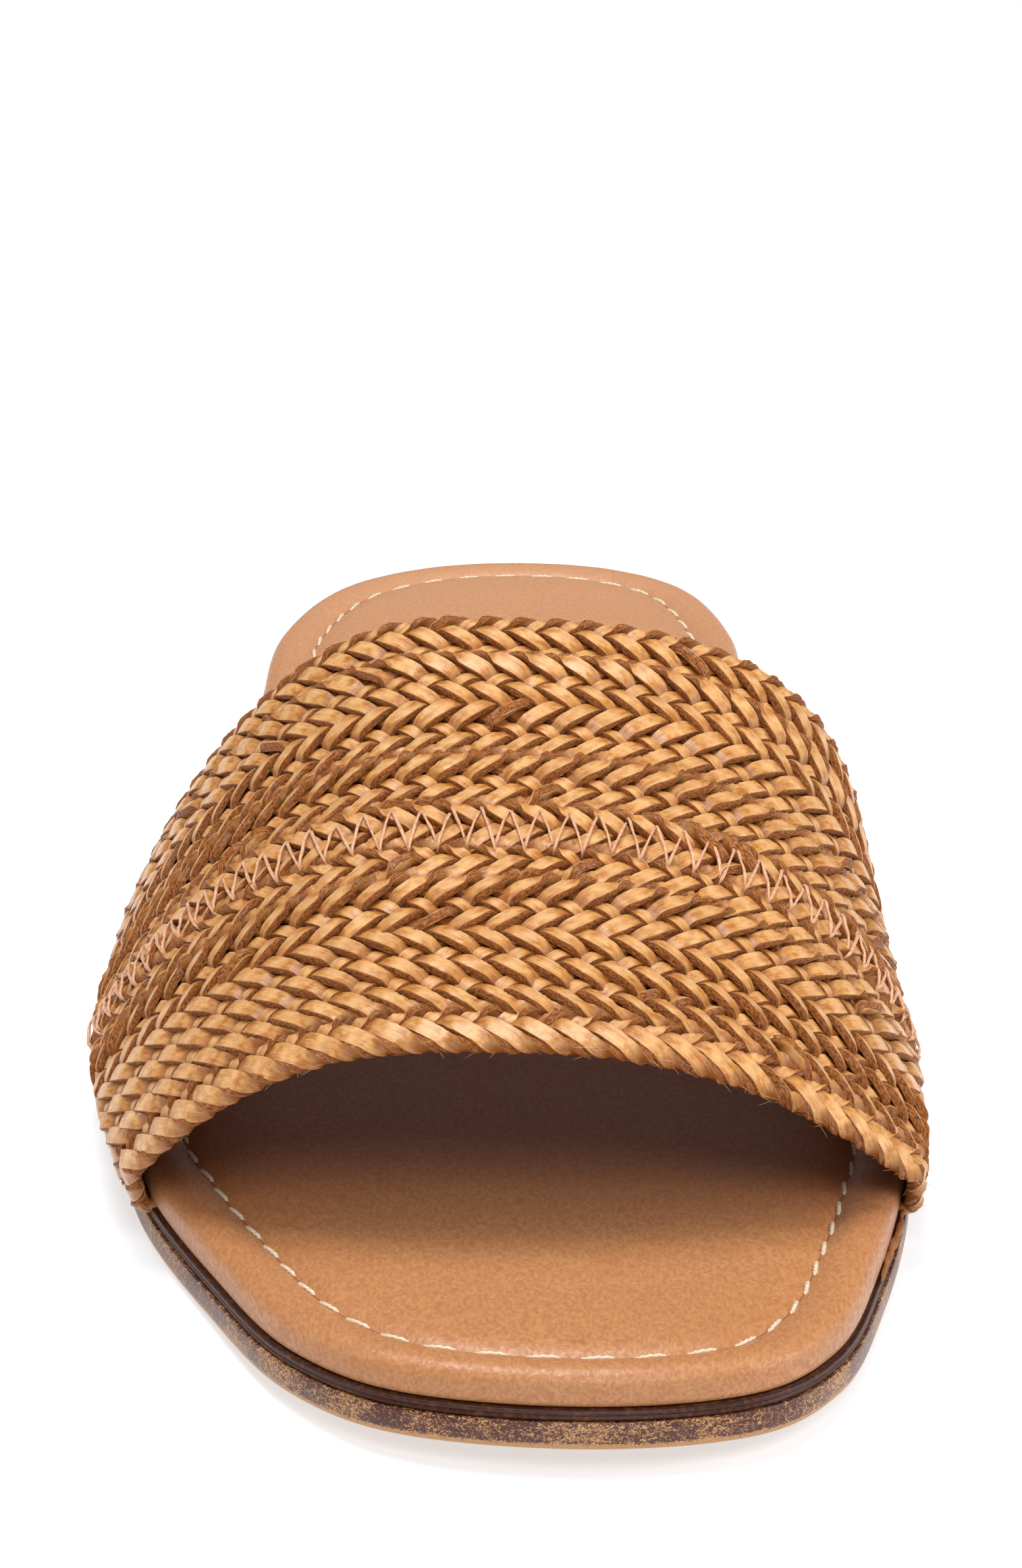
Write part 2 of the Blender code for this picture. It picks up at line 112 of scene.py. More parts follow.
# %% [markdown]
# ## Rings round the sole
# A sole layer is a stack of rings: each ring is the outline, set in by so much and raised by so
# much. The stations are spaced evenly along the edge, which keeps stitches and speckles even. The
# last ring of a face runs along a spine in the middle, where its two halves meet.

# %% Rings and the shape of the underside
STATIONS = 270
TOE_SPRING = 3.0 * MM
TOE_SPRING_LENGTH = 60.0 * MM
HEEL_RISE = 8.3 * MM
HEEL_LENGTH = 64.0 * MM
ARCH_LENGTH = 58.0 * MM


def underside(depth):
    """Height of the outsole's underside: toe spring, flat forefoot, arch and heel seat."""
    from_toe = np.clip(1 - depth / TOE_SPRING_LENGTH, 0.0, 1.0)
    rise = np.clip((depth - LENGTH + HEEL_LENGTH + ARCH_LENGTH) / ARCH_LENGTH, 0.0, 1.0)
    return TOE_SPRING * from_toe ** 2 + HEEL_RISE * rise * rise * (3 - 2 * rise)


def place(points):
    """Side, depth from the toe and height as the frame's X, Y and Z."""
    points = np.asarray(points, float)
    middle = TOE_DEPTH + SPAN / 2
    return np.stack([points[..., 0] + SIDE_SHIFT, points[..., 1] - middle, points[..., 2]], axis=-1)


around = np.concatenate([EDGE[TOE:-1], EDGE[:TOE + 1]])
around_run = run_of(around)
half_way = around_run[HEEL - TOE]
even = np.concatenate([np.linspace(0, half_way, STATIONS + 1)[:-1],
                       np.linspace(half_way, around_run[-1], STATIONS + 1)[:-1]])
closed = np.concatenate([around[-4:-1], around, around[1:4]])
tangent = np.gradient(closed, axis=0)[3:-3]
tangent /= np.linalg.norm(tangent, axis=1)[:, None]
RING = np.stack([np.interp(even, around_run, around[:, k]) for k in (0, 1)], axis=1)
INWARD = np.stack([np.interp(even, around_run, tangent[:, 1]),
                   np.interp(even, around_run, -tangent[:, 0])], axis=1)
INWARD /= np.linalg.norm(INWARD, axis=1)[:, None]
MATE = (-np.arange(2 * STATIONS)) % (2 * STATIONS)


def ring(inset, height, to_spine=0.0):
    """One ring, set in from the outsole's edge. height is above the underside line. Both are a
    number, or one for each station. to_spine draws the ring in to the middle line, 1 all the way."""
    flat = RING + INWARD * np.broadcast_to(inset, len(RING))[:, None]
    flat = flat + ((flat + flat[MATE]) / 2 - flat) * to_spine
    return place(np.column_stack([flat, underside(flat[:, 1]) + height]))


edge_length = run_of(ring(0, 0))[-1]
print("edge of the sole", round(edge_length / MM), "mm round")

# %% [markdown]
# ## Skinning the rings
# A bmesh starts from a circle with one vertex a station. Its rim is extruded again and again, and
# each new rim is laid on the next ring. A loft made face by face would give the same skin, but
# extruding keeps the order of the vertices in a layer of its own and needs no face lists. Where
# both ends finish on the spine, merging the doubles closes the body.

# %% Helpers for sole layers
def piece_from(bm, name, smooth_angle=40.0):
    """An object at the origin from a bmesh, smooth except along sharp edges."""
    mesh = bpy.data.meshes.new(name)
    bm.to_mesh(mesh)
    bm.free()
    mesh.shade_smooth()
    mesh.set_sharp_from_angle(angle=math.radians(smooth_angle))
    piece = bpy.data.objects.new(name, mesh)
    bpy.context.collection.objects.link(piece)
    return piece


def skin(name, rings, closed_section=False, smooth_angle=40.0):
    """A body from rings of points with equal counts, closed on the spine or on itself."""
    bm = bmesh.new()
    order = bm.verts.layers.int.new("order")
    rise = bm.verts.layers.float.new("rise")
    start = bmesh.ops.create_circle(bm, segments=len(rings[0]), radius=MM)["verts"]
    for number, vert in enumerate(start):
        vert[order] = number
    rim = list(bm.edges)
    verts = start
    for step, points in enumerate(rings):
        if step:
            made = bmesh.ops.extrude_edge_only(bm, edges=rim)["geom"]
            rim = [part for part in made if isinstance(part, bmesh.types.BMEdge)]
            verts = [part for part in made if isinstance(part, bmesh.types.BMVert)]
        for vert in verts:
            vert.co = points[vert[order]]
            depth = vert.co.y + TOE_DEPTH + SPAN / 2
            vert[rise] = vert.co.z - float(underside(depth))
    if closed_section:
        bmesh.ops.bridge_loops(bm, edges=[edge for edge in bm.edges if edge.is_boundary])
    else:
        spine = [vert for vert in bm.verts if vert.is_boundary]
        bmesh.ops.remove_doubles(bm, verts=spine, dist=0.002 * MM)
    bmesh.ops.recalc_face_normals(bm, faces=bm.faces)
    open_edges = sum(not edge.is_manifold for edge in bm.edges)
    print(name, len(bm.faces), "faces,", open_edges, "open edges")
    return piece_from(bm, name, smooth_angle)


# %% [markdown]
# ## Outsole, heel and welt
# The outsole is cut from a sheet and its edge is trimmed, bevelled at the ground and inked. The
# welt is a strip of dark, polished leather board that lies on it, with two fine beads turned into
# its edge. Both could be extruded curves. Rings let the bevel, the beads and the toe spring follow
# the last together.

# %% Sole layers
OUTSOLE_ROWS = ((0.90, 0.0), (0.50, 0.10), (0.20, 0.40), (0.06, 0.80), (0.0, 1.20), (0.0, 3.02),
                (0.12, 3.20))
WELT_ROWS = ((0.80, 3.20), (0.55, 3.26), (0.42, 3.42), (0.42, 3.62), (0.55, 3.74), (0.57, 3.80),
             (0.46, 3.90), (0.40, 4.08), (0.44, 4.28), (0.60, 4.42), (0.72, 4.40), (0.80, 4.34),
             (0.90, 4.44), (1.10, 4.50), (1.80, 4.50), (12.50, 4.50), (12.50, 3.20))
SPINE_SHARES = (0.35, 0.7, 1.0)

first_inset, first_height = (v * MM for v in OUTSOLE_ROWS[0])
last_inset, last_height = (v * MM for v in OUTSOLE_ROWS[-1])
rings = [ring(first_inset, first_height, share) for share in SPINE_SHARES[::-1]]
rings += [ring(inset * MM, height * MM) for inset, height in OUTSOLE_ROWS]
rings += [ring(last_inset, last_height, share) for share in SPINE_SHARES]
outsole = skin("outsole_unit", rings)
welt = skin("welt_strip", [ring(inset * MM, height * MM) for inset, height in WELT_ROWS], True, 60.0)

# %% [markdown]
# The heel block is glued under the seat and cut straight at its front, the breast. A boolean with a
# box could cut a full ring there. Keeping only the stations behind the breast gives the same
# straight face with even points, and the groove between its two lifts is one more row.

# %% Heel block
HEEL_POINTS = 90
HEEL_ROWS = ((2.00, 0.0), (1.45, 0.22), (1.20, 0.80), (1.06, 2.30), (1.16, 2.42), (1.04, 2.54),
             (0.50, 8.0))
BREAST = TOE_DEPTH + SPAN - HEEL_LENGTH


def heel_ring(inset, height):
    """The outline behind the heel's straight front face, set in by inset."""
    behind = RING[:, 1] >= BREAST
    points = (RING + INWARD * inset)[behind]
    run = run_of(points)
    shares = np.linspace(0, run[-1], HEEL_POINTS)
    points = np.stack([np.interp(shares, run, points[:, k]) for k in (0, 1)], axis=1)
    return place(np.column_stack([points, np.full(HEEL_POINTS, height)]))


heel_rings = [heel_ring(inset * MM, height * MM) for inset, height in HEEL_ROWS]
for row in heel_rings:
    for end in (0, -1):
        row[end, 1] = place([(0, BREAST, 0)])[0, 1]


def capped(name, rings, smooth_angle=40.0):
    """A body from rings, with a flat cap on its first and its last ring."""
    bm = bmesh.new()
    order = bm.verts.layers.int.new("order")
    rise = bm.verts.layers.float.new("rise")
    start = bmesh.ops.create_circle(bm, segments=len(rings[0]), radius=MM, cap_ends=True)["verts"]
    for number, vert in enumerate(start):
        vert[order] = number
        vert.co = rings[0][number]
    bmesh.ops.recalc_face_normals(bm, faces=bm.faces)
    rim = list(bm.edges)
    for points in rings[1:]:
        made = bmesh.ops.extrude_edge_only(bm, edges=rim)["geom"]
        rim = [part for part in made if isinstance(part, bmesh.types.BMEdge)]
        for vert in [part for part in made if isinstance(part, bmesh.types.BMVert)]:
            vert.co = points[vert[order]]
    bmesh.ops.edgeloop_fill(bm, edges=rim)
    for vert in bm.verts:
        vert[rise] = vert.co.z
    bmesh.ops.recalc_face_normals(bm, faces=bm.faces)
    return piece_from(bm, name, smooth_angle)


heel = capped("heel_block", heel_rings)
print("heel", len(heel.data.polygons), "faces")

# %% [markdown]
# ## The padded insole
# The footbed is leather pulled over a thin foam pad and turned under a board. Its rim is a soft
# roll, and a row of stitches draws a channel a finger's width in from the edge. A cloth simulation
# could swell the pad, but its form is known from the photo row by row: rings set the roll, the
# channel and the cushion, and a small wave along the channel gives the puckers between stitches.

# %% Insole with its rolled rim and stitch channel
SEAT = 4.8
INSOLE_TOP = 9.0
INSOLE_BOTTOM = 4.53
MARGIN_TOP = 6.3
STITCH_PITCH = 5.5 * MM
CHANNEL_INSET = 6.05
CHANNEL_SHARE = 0.69
# inset in mm from the insole's edge, height as a share of the pad's thickness, share of pucker
INSOLE_ROWS = (
    (0.55, 0.00, 0.0), (0.14, 0.07, 0.0), (0.00, 0.20, 0.0), (0.02, 0.46, 0.0), (0.14, 0.59, 0.0),
    (0.38, 0.69, 0.0), (0.75, 0.775, 0.1), (1.25, 0.845, 0.2), (1.90, 0.885, 0.3),
    (2.70, 0.895, 0.4), (3.50, 0.885, 0.6), (4.30, 0.855, 0.9), (5.00, 0.81, 1.0),
    (5.55, 0.755, 0.8), (5.85, 0.71, 0.3), (6.05, 0.69, 0.0), (6.25, 0.71, 0.3), (6.60, 0.765, 0.8),
    (7.20, 0.82, 1.0), (8.00, 0.865, 0.7), (9.00, 0.90, 0.4),
)
PUCKER = 0.10 * MM

# The strap's bases, from the toe as shares of LENGTH, lateral side first: the insole gives way there
STRAP_FROM = (0.215, 0.212)
STRAP_TO = (0.497, 0.462)
# Share of LENGTH over which it does, its inset in mm elsewhere and how much further out it lies there
STRAP_EASE = 0.008
INSOLE_INSET = 0.75
INSOLE_SPREAD = 0.40
ring_side = np.repeat((0, 1), STATIONS)
from_front = RING[:, 1] / LENGTH - np.take(STRAP_FROM, ring_side)
from_rear = np.take(STRAP_TO, ring_side) - RING[:, 1] / LENGTH
strap_part = np.clip(np.minimum(from_front, from_rear) / STRAP_EASE, 0, 1)
insole_inset = INSOLE_INSET - INSOLE_SPREAD * strap_part
insole_low = INSOLE_BOTTOM + (MARGIN_TOP - INSOLE_BOTTOM) * (strap_part > 0.8)
channel = ring((insole_inset + CHANNEL_INSET) * MM, 0)
channel_run = run_of(np.concatenate([channel, channel[:1]]))
STITCHES = round(channel_run[-1] / STITCH_PITCH)
stitch_phase = channel_run[:-1] / channel_run[-1] * STITCHES


def insole_ring(inset, share, pucker, to_spine=0.0):
    """A ring of the insole; pucker adds the small swell between two stitches."""
    height = np.maximum(INSOLE_BOTTOM + share * (INSOLE_TOP - INSOLE_BOTTOM), insole_low)
    swell = PUCKER * pucker * (0.5 - 0.5 * np.cos(2 * math.pi * stitch_phase))
    return ring((insole_inset + inset) * MM, height * MM + swell - PUCKER * pucker / 2, to_spine)


rings = [insole_ring(INSOLE_ROWS[0][0], 0.0, 0.0, share) for share in SPINE_SHARES[::-1]]
rings += [insole_ring(*row) for row in INSOLE_ROWS]
# Further in, the cushion rises with the distance from the edge, so that it has no fold at the toe
CUSHION = ((9.0, 0.900), (11.0, 0.935), (14.0, 0.97), (18.0, 0.99), (24.0, 1.0))
CUSHION_START = CUSHION[0][0]
CUSHION_SHARES = (0.06, 0.14, 0.3, 0.5, 0.75, 1.0)
edge_line = ring(insole_inset * MM, 0)
for to_spine in CUSHION_SHARES:
    flat = ring((insole_inset + CUSHION_START) * MM, 0, to_spine)
    away = np.linalg.norm(flat[:, None, :2] - edge_line[None, :, :2], axis=2).min(axis=1) / MM
    rings.append(insole_ring(CUSHION_START, np.interp(away, *zip(*CUSHION)), 0.0, to_spine))
insole = skin("insole_pad", rings, smooth_angle=75.0)

# %% [markdown]
# ## The strap's surface
# The strap is a wide arch that leans forward, so its two edges are unlike: low over the toes, high
# over the instep. Three sections hold its form as shares of the foot, and every section between is
# read from them. The strands need a point and a direction anywhere on it, so the surface is worked
# out once on a fine grid, and read from there. At each base the arch turns in under the insole.

# %% Sections of the strap
INSTEP_HEIGHT = 56.2 * MM
OVERHANG = 1.5 * MM
UPRIGHT = 6.0 * MM
TUCK_RADIUS = 1.6 * MM
TUCK_RUN = 3.4 * MM
TUCK_HEIGHT = 3.4 * MM
STRAP_COLUMNS = ("crown_along crown_height crown_side lateral_base medial_base lateral_turn "
                 "medial_turn lateral_rise medial_rise lateral_bulge medial_bulge lean").split()
STRAP_SECTIONS = (
    (0.145, 0.577, -0.075, 0.215, 0.212, 0.87, 0.69, 1.85, 2.20, 0.003, 0.000, 0.83),
    (0.285, 0.794, -0.083, 0.365, 0.344, 0.94, 0.68, 1.80, 1.44, 0.024, 0.000, 1.26),
    (0.426, 1.000, -0.091, 0.497, 0.462, 1.02, 0.67, 1.75, 0.68, 0.045, 0.000, 1.69),
)


def strap_value(name, across):
    """One column of the table between the front edge (0) and the rear edge (1)."""
    front, middle, rear = (section[STRAP_COLUMNS.index(name)] for section in STRAP_SECTIONS)
    return (front * (1 - across) * (1 - 2 * across) + 4 * middle * across * (1 - across)
            + rear * across * (2 * across - 1))


def edge_side(depth, side):
    """Where the outsole's edge lies at a depth; side -1 is lateral, +1 medial."""
    part = EDGE[TOE:HEEL + 1] if side < 0 else np.concatenate([EDGE[HEEL:], EDGE[1:TOE + 1]])[::-1]
    return np.interp(depth, part[:, 1], part[:, 0])


def strap_half(across, side):
    """Half a section of the strap's outer face, from under the insole up to its crown."""
    name = "lateral" if side < 0 else "medial"
    base_depth = strap_value(name + "_base", across) * LENGTH
    crown_depth = strap_value("crown_along", across) * LENGTH
    crown_height = strap_value("crown_height", across) * INSTEP_HEIGHT
    crown_side = strap_value("crown_side", across) * WIDTHS["ball"]
    bulge = strap_value(name + "_bulge", across) * WIDTHS["ball"]
    base_side = edge_side(base_depth, side) + side * OVERHANG
    seat = SEAT * MM
    low = (TUCK_HEIGHT + TUCK_RADIUS - seat) / UPRIGHT
    foot = np.linspace(low, 1.0, 9)[:-1]
    foot_side = base_side + side * bulge * np.sin(foot * math.pi / 2)
    turn = np.linspace(0.0, math.pi / 2, 48)
    reach = abs(base_side + side * bulge - crown_side)
    flank = crown_side + side * reach * np.cos(turn) ** strap_value(name + "_turn", across)
    top = seat + UPRIGHT
    rise = top + (crown_height - top) * np.sin(turn) ** strap_value(name + "_rise", across)
    corner = np.linspace(-math.pi / 2, 0.0, 7)[:-1]
    hub = foot_side[0] - side * TUCK_RADIUS
    under = np.linspace(TUCK_RUN, 0.0, 5)[:-1]
    sides = np.concatenate([hub - side * under, hub + side * TUCK_RADIUS * np.cos(corner),
                            foot_side, flank])
    heights = np.concatenate([np.full(4, TUCK_HEIGHT),
                              TUCK_HEIGHT + TUCK_RADIUS * (1 + np.sin(corner)),
                              seat + UPRIGHT * foot, rise])
    climb = np.clip((heights - seat) / (crown_height - seat), 0.0, 1.0)
    depths = base_depth + (crown_depth - base_depth) * climb ** strap_value("lean", across)
    return np.stack([sides, depths, heights], axis=1)


# %% [markdown]
# The sections are now read at even steps from the front edge to the rear edge, and each is spaced
# evenly along its arch. A Surface curve could hold such a form, but an array can be asked for
# points, normals and directions at thousands of places at once, which the strands need.

# %% The surface as a fine grid
GRID_ACROSS = np.linspace(-0.03, 1.03, 128)
GRID_SHARES = np.linspace(0.0, 1.0, 420)
grid = []
ARCH_RUNS = []
for across in GRID_ACROSS:
    arch = np.concatenate([strap_half(across, -1), strap_half(across, 1)[::-1][1:]])
    arch_run = run_of(arch)
    ARCH_RUNS.append(arch_run[-1])
    grid.append(np.stack([np.interp(GRID_SHARES * arch_run[-1], arch_run, arch[:, k])
                          for k in range(3)], axis=1))
GRID = place(np.array(grid))
grid_along = np.gradient(GRID, axis=1)
grid_back = np.gradient(GRID, axis=0)
GRID_NORMAL = np.cross(grid_along, grid_back)
GRID_NORMAL /= np.linalg.norm(GRID_NORMAL, axis=2)[..., None]


def on_strap(share, across, table=None):
    """The strap's outer face, or another table of its grid, at arrays of share and across."""
    table = GRID if table is None else table
    row = np.clip((across - GRID_ACROSS[0]) / (GRID_ACROSS[1] - GRID_ACROSS[0]),
                  0, len(GRID_ACROSS) - 1.001)
    column = np.clip(np.asarray(share) * (len(GRID_SHARES) - 1), 0, len(GRID_SHARES) - 1.001)
    r, c = row.astype(int), column.astype(int)
    fr, fc = (row - r)[..., None], (column - c)[..., None]
    return ((table[r, c] * (1 - fc) + table[r, c + 1] * fc) * (1 - fr)
            + (table[r + 1, c] * (1 - fc) + table[r + 1, c + 1] * fc) * fr)


print("strap arches", [round(run / MM) for run in ARCH_RUNS[::32]], "mm")

# %% [markdown]
# ## How a flat plait runs
# In a flat plait every strand travels from one edge to the other, turns over at the edge and comes
# back, passing over and under the strands that travel the other way. Written as a chart, each row
# of crossings shows either the strands that rise to the right (/) or those that fall (\). Geometry
# could be faked by raising leaf shapes off a plate. Real strands, swept along their own paths, give
# the right tucks, turned edges and shadows at once.
#
# A chart row holds: which strands show, over how many crossings, how far the tape rolls towards
# the front (degrees), and how frayed its cut edges are (0 to 1).

# %% Chart of the seven plaits, front edge to rear edge
CHART = (
    ("plait_front_rim", (("\\", 2, -10, 0.40), ("/", 1, 4, 0.25))),
    ("plait_front", (("\\", 2, 28, 0.8), ("/", 1, 6, 0.1), ("\\", 2, 21, 0.55), ("/", 1, 6, 0.1),
                     ("\\", 2, 16, 0.2), ("/", 2, 14, 0.2), ("\\", 1, 8, 0.1), ("/", 2, 18, 0.3))),
    ("plait_seam_front", (("/", 2, 20, 0.4), ("\\", 1, 6, 0.3))),
    ("plait_seam_middle", (("/", 2, 16, 0.3), ("\\", 2, 12, 0.3))),
    ("plait_seam_rear", (("/", 2, 22, 0.5), ("\\", 1, 6, 0.5), ("/", 2, 24, 0.65))),
    ("plait_rear", (("/", 2, 22, 0.6), ("\\", 1, 6, 0.1), ("/", 2, 10, 0.1), ("\\", 2, 14, 0.3),
                    ("/", 1, 5, 0.1), ("\\", 2, -8, 0.2))),
    ("plait_rear_rim", (("/", 1, 8, 0.3), ("\\", 2, 8, 0.2), ("/", 1, 6, 0.4))),
)
CROSSINGS = sum(row[1] for _, rows in CHART for row in rows)
PITCH = 4.05 * MM
TAPE_WIDTH = 2.25 * MM
TAPE_THICKNESS = 0.86 * MM
LIFT = 0.47 * MM
MID_DEPTH = 1.0 * MM
EDGE_REACH = 0.42
STRAND_FLOOR = 1.85 * MM
SHORT_LIFT = 0.06 * MM
LONG_REACH = 0.30
# Width of a short bit, and of a long leaf at its middle and lost towards its ends
SHORT_WIDTH = 0.78
LEAF_WIDTH = 1.03
LEAF_TIP_LOSS = 0.38
TURN_SWAY = 0.0796
# Rows are not all one height: the middle plaits sit a little nearer the front
ROW_MARKS = (0.0, 5.5, 12.0, 21.0, 27.0, 33.0, 42.0)
ROW_PLACES = (0.0, 5.5, 11.25, 20.2, 26.25, 32.9, 42.0)
print(len(CHART), "plaits with", CROSSINGS, "rows of crossings")


def across_of(row):
    """Share of the strap's depth at a row of crossings."""
    return np.interp(row, ROW_MARKS, ROW_PLACES) / CROSSINGS


def strand_cycle(rows):
    """One full round trip of a strand, as arrays over its samples. A step is one crossing."""
    leans = [row for row in rows for _ in range(row[1])]
    count = len(leans)
    period = 2 * count

    def crossing(step):
        number = step % period
        row = number if number < count else period - 1 - number
        over = leans[row][0] == ("/" if number < count else "\\")
        return row, over

    steps = []
    for half in range(2 * period):
        at_turn = half // 2 % count == count - 1
        parts = 4 if crossing((half + 1) // 2)[1] or at_turn else 2
        steps.extend(half / 2 + np.arange(parts) / parts / 2)
    q = np.array(steps)
    near = np.round(q).astype(int)
    over = np.array([crossing(step)[1] for step in near])
    info = np.array([leans[crossing(step)[0]][2:] for step in near], float)
    # Runs of crossings on one side, cut where the strand turns at an edge
    first, last = [], []
    for step in near:
        a = b = int(step)
        while a % count and crossing(a - 1)[1] == crossing(a)[1]:
            a -= 1
        while (b + 1) % count and crossing(b + 1)[1] == crossing(b)[1]:
            b += 1
        first.append(a)
        last.append(b)
    first, last = np.array(first), np.array(last)
    # A leaf over two strands is long and stands proud; one over a single strand is a short, low bit
    long_run = last > first
    grow = np.where(over & long_run, LONG_REACH, 0.0)
    middle, reach = (first + last) / 2, (last - first + 1) / 2 + grow
    x = np.clip((q - middle) / reach, -1, 1)
    turn_before, turn_after = first % count == 0, (last + 1) % count == 0
    at_edge = np.where(x < 0, turn_before, turn_after)
    height = np.where(over, np.where(long_run, LIFT, SHORT_LIFT), -LIFT)
    edge = np.where(at_edge, 0.0, -LIFT)
    z = edge + (height - edge) * (1 - np.abs(x) ** 3.2)
    narrow = np.where(over & ~long_run, SHORT_WIDTH, LEAF_WIDTH - LEAF_TIP_LOSS * np.abs(x) ** 3)
    # Travel along the plait and across its rows, with a round turn at each edge
    within = q % period
    leg = np.floor((within + 1e-9) / count)
    local = within - leg * count
    turning = local > count - 1
    part = np.where(turning, local - (count - 1), 0.0)
    straight = np.minimum(local, count - 1)
    along = leg * (count + 1) / 2 + straight / 2 + part - TURN_SWAY * np.sin(2 * math.pi * part)
    reach_out = EDGE_REACH * np.sin(math.pi * part)
    across = np.where(leg == 0, straight + reach_out, count - 1 - straight - reach_out)
    rear_way = 1 if leans[-1][0] == "/" else -1
    front_way = -1 if leans[0][0] == "\\" else 1
    ease = part * part * (3 - 2 * part)
    flip = np.where(leg == 0, rear_way * ease, rear_way + front_way * ease)
    return {"along": along, "across": across, "z": z, "narrow": narrow, "flip": flip, "over": over,
            "tilt": info[:, 0], "fray": info[:, 1], "run": first, "leaf": 1 - np.abs(x),
            "count": count, "flips": rear_way + front_way}


test = strand_cycle(CHART[1][1])
print("a strand of the front plait takes", len(test["z"]), "samples for a round trip")

# %% [markdown]
# ## Sweeping the tape
# Raffia tape here is a folded, waxed strip with a crowned face and rough cut edges. It could be a
# curve with a bevel object, but a curve can't turn over at the edges of the plait on command. The
# sections are laid as arrays: the centre line, the roll of the tape and its width come from the
# round trip above, with a little unevenness for each leaf, as hand work has.

# %% Strands as joined meshes
# Section of the tape: width share, thickness share, share of cut edge
TAPE_SECTION = np.array([
    (0.50, 0.00, 1.00), (0.495, 0.35, 0.90), (0.445, 0.49, 0.10),
    (0.00, 0.55, 0.00), (-0.445, 0.49, 0.10), (-0.495, 0.35, 0.90),
])
TAPE_SECTION = np.concatenate([TAPE_SECTION, TAPE_SECTION * (-1, -1, 1)])
# Way round the section in mm, for the UV map
SECTION_RUN = np.array([0.0, 0.32, 0.62, 1.60, 2.60, 2.90, 3.22, 3.54, 3.84, 4.82, 5.82, 6.12, 6.44])
CUT_EDGE_ANGLE = 36.0
# Unevenness of hand work. Angles are in degrees, pairs are limits as shares of the usual size
LEAF_WIDTHS = (0.93, 1.07)
LEAF_THICKNESSES = (0.92, 1.14)
STRAND_SIZES = (0.95, 1.05)
LEAF_ROLLS = (-8, 8)
LEAF_FRAYS = (0.6, 1.4)
LIFT_SPREAD = 0.10 * MM
TWISTED_LEAVES = 0.045
TWIST_ROLLS = (38, 58)
TWIST_FRAY = 0.7
FRAY_SWELL = 0.28
RAGGEDNESS = 0.16
STRAND_TONE = 0.35
# Each strand reads its streaks from another place, up to this many mm along the tape
STREAK_SHIFT = 37
TUCKED_SIZE = 0.55
# On the lateral flank, seen almost edge on, the leaves lie flatter and show little cut edge
FLANK_END = 0.30
FLANK_ROLL = 0.2
FLANK_FRAY = 0.45
rng = np.random.default_rng(7)


def between(limits, part):
    """A value between two limits, part of the way from 0 to 1."""
    return limits[0] + (limits[1] - limits[0]) * part


def tube_mesh(name, sections, coordinates, colours, crisp_angle=None):
    """One mesh from lists of swept sections, each an array of rings of points, capped at its ends,
    with a UV map in mm and a colour attribute named finish. Edges sharper than crisp_angle stay
    crisp."""
    points, faces, uvs, tones = [], [], [], []
    start = 0
    for rings, coordinate, colour in zip(sections, coordinates, colours):
        count, sides = rings.shape[:2]
        k = np.arange(sides)
        base = start + np.arange(count - 1)[:, None] * sides
        quads = np.stack([base + k, base + (k + 1) % sides,
                          base + sides + (k + 1) % sides, base + sides + k], axis=2)
        faces.append(quads.reshape(-1, 4))
        u = np.broadcast_to(coordinate[0][:, None], (count, sides))
        v = coordinate[1]
        corner = np.stack([
            np.stack([u[:-1], u[:-1], u[1:], u[1:]], axis=2),
            np.broadcast_to(np.stack([v[:-1], v[1:], v[1:], v[:-1]], axis=1),
                            (count - 1, sides, 4))], axis=3)
        uvs.append(corner.reshape(-1, 2))
        points.append(rings.reshape(-1, 3))
        tones.append(colour.reshape(-1, 4))
        start += count * sides
    points = np.concatenate(points)
    faces = np.concatenate(faces)
    mesh = bpy.data.meshes.new(name)
    mesh.vertices.add(len(points))
    mesh.vertices.foreach_set("co", points.astype(np.float32).ravel())
    mesh.loops.add(len(faces) * 4)
    mesh.loops.foreach_set("vertex_index", faces.astype(np.int32).ravel())
    mesh.polygons.add(len(faces))
    mesh.polygons.foreach_set("loop_start", np.arange(0, len(faces) * 4, 4, dtype=np.int32))
    mesh.update(calc_edges=True)
    layer = mesh.uv_layers.new(name="UVMap")
    layer.data.foreach_set("uv", np.concatenate(uvs).astype(np.float32).ravel())
    finish = mesh.attributes.new("finish", "FLOAT_COLOR", "POINT")
    finish.data.foreach_set("color", np.concatenate(tones).astype(np.float32).ravel())
    bm = bmesh.new()
    bm.from_mesh(mesh)
    bmesh.ops.holes_fill(bm, edges=[edge for edge in bm.edges if edge.is_boundary], sides=0)
    bm.to_mesh(mesh)
    bm.free()
    mesh.shade_smooth()
    if crisp_angle:
        mesh.set_sharp_from_angle(angle=math.radians(crisp_angle))
    piece = bpy.data.objects.new(name, mesh)
    bpy.context.collection.objects.link(piece)
    print(name, sum(len(face.vertices) - 2 for face in mesh.polygons), "triangles")
    return piece


def smooth_along(values, rounds=1):
    """Evens out an array along its first axis."""
    for _ in range(rounds):
        values = np.concatenate([values[:1], (values[:-2] + 2 * values[1:-1] + values[2:]) / 4,
                                 values[-1:]])
    return values


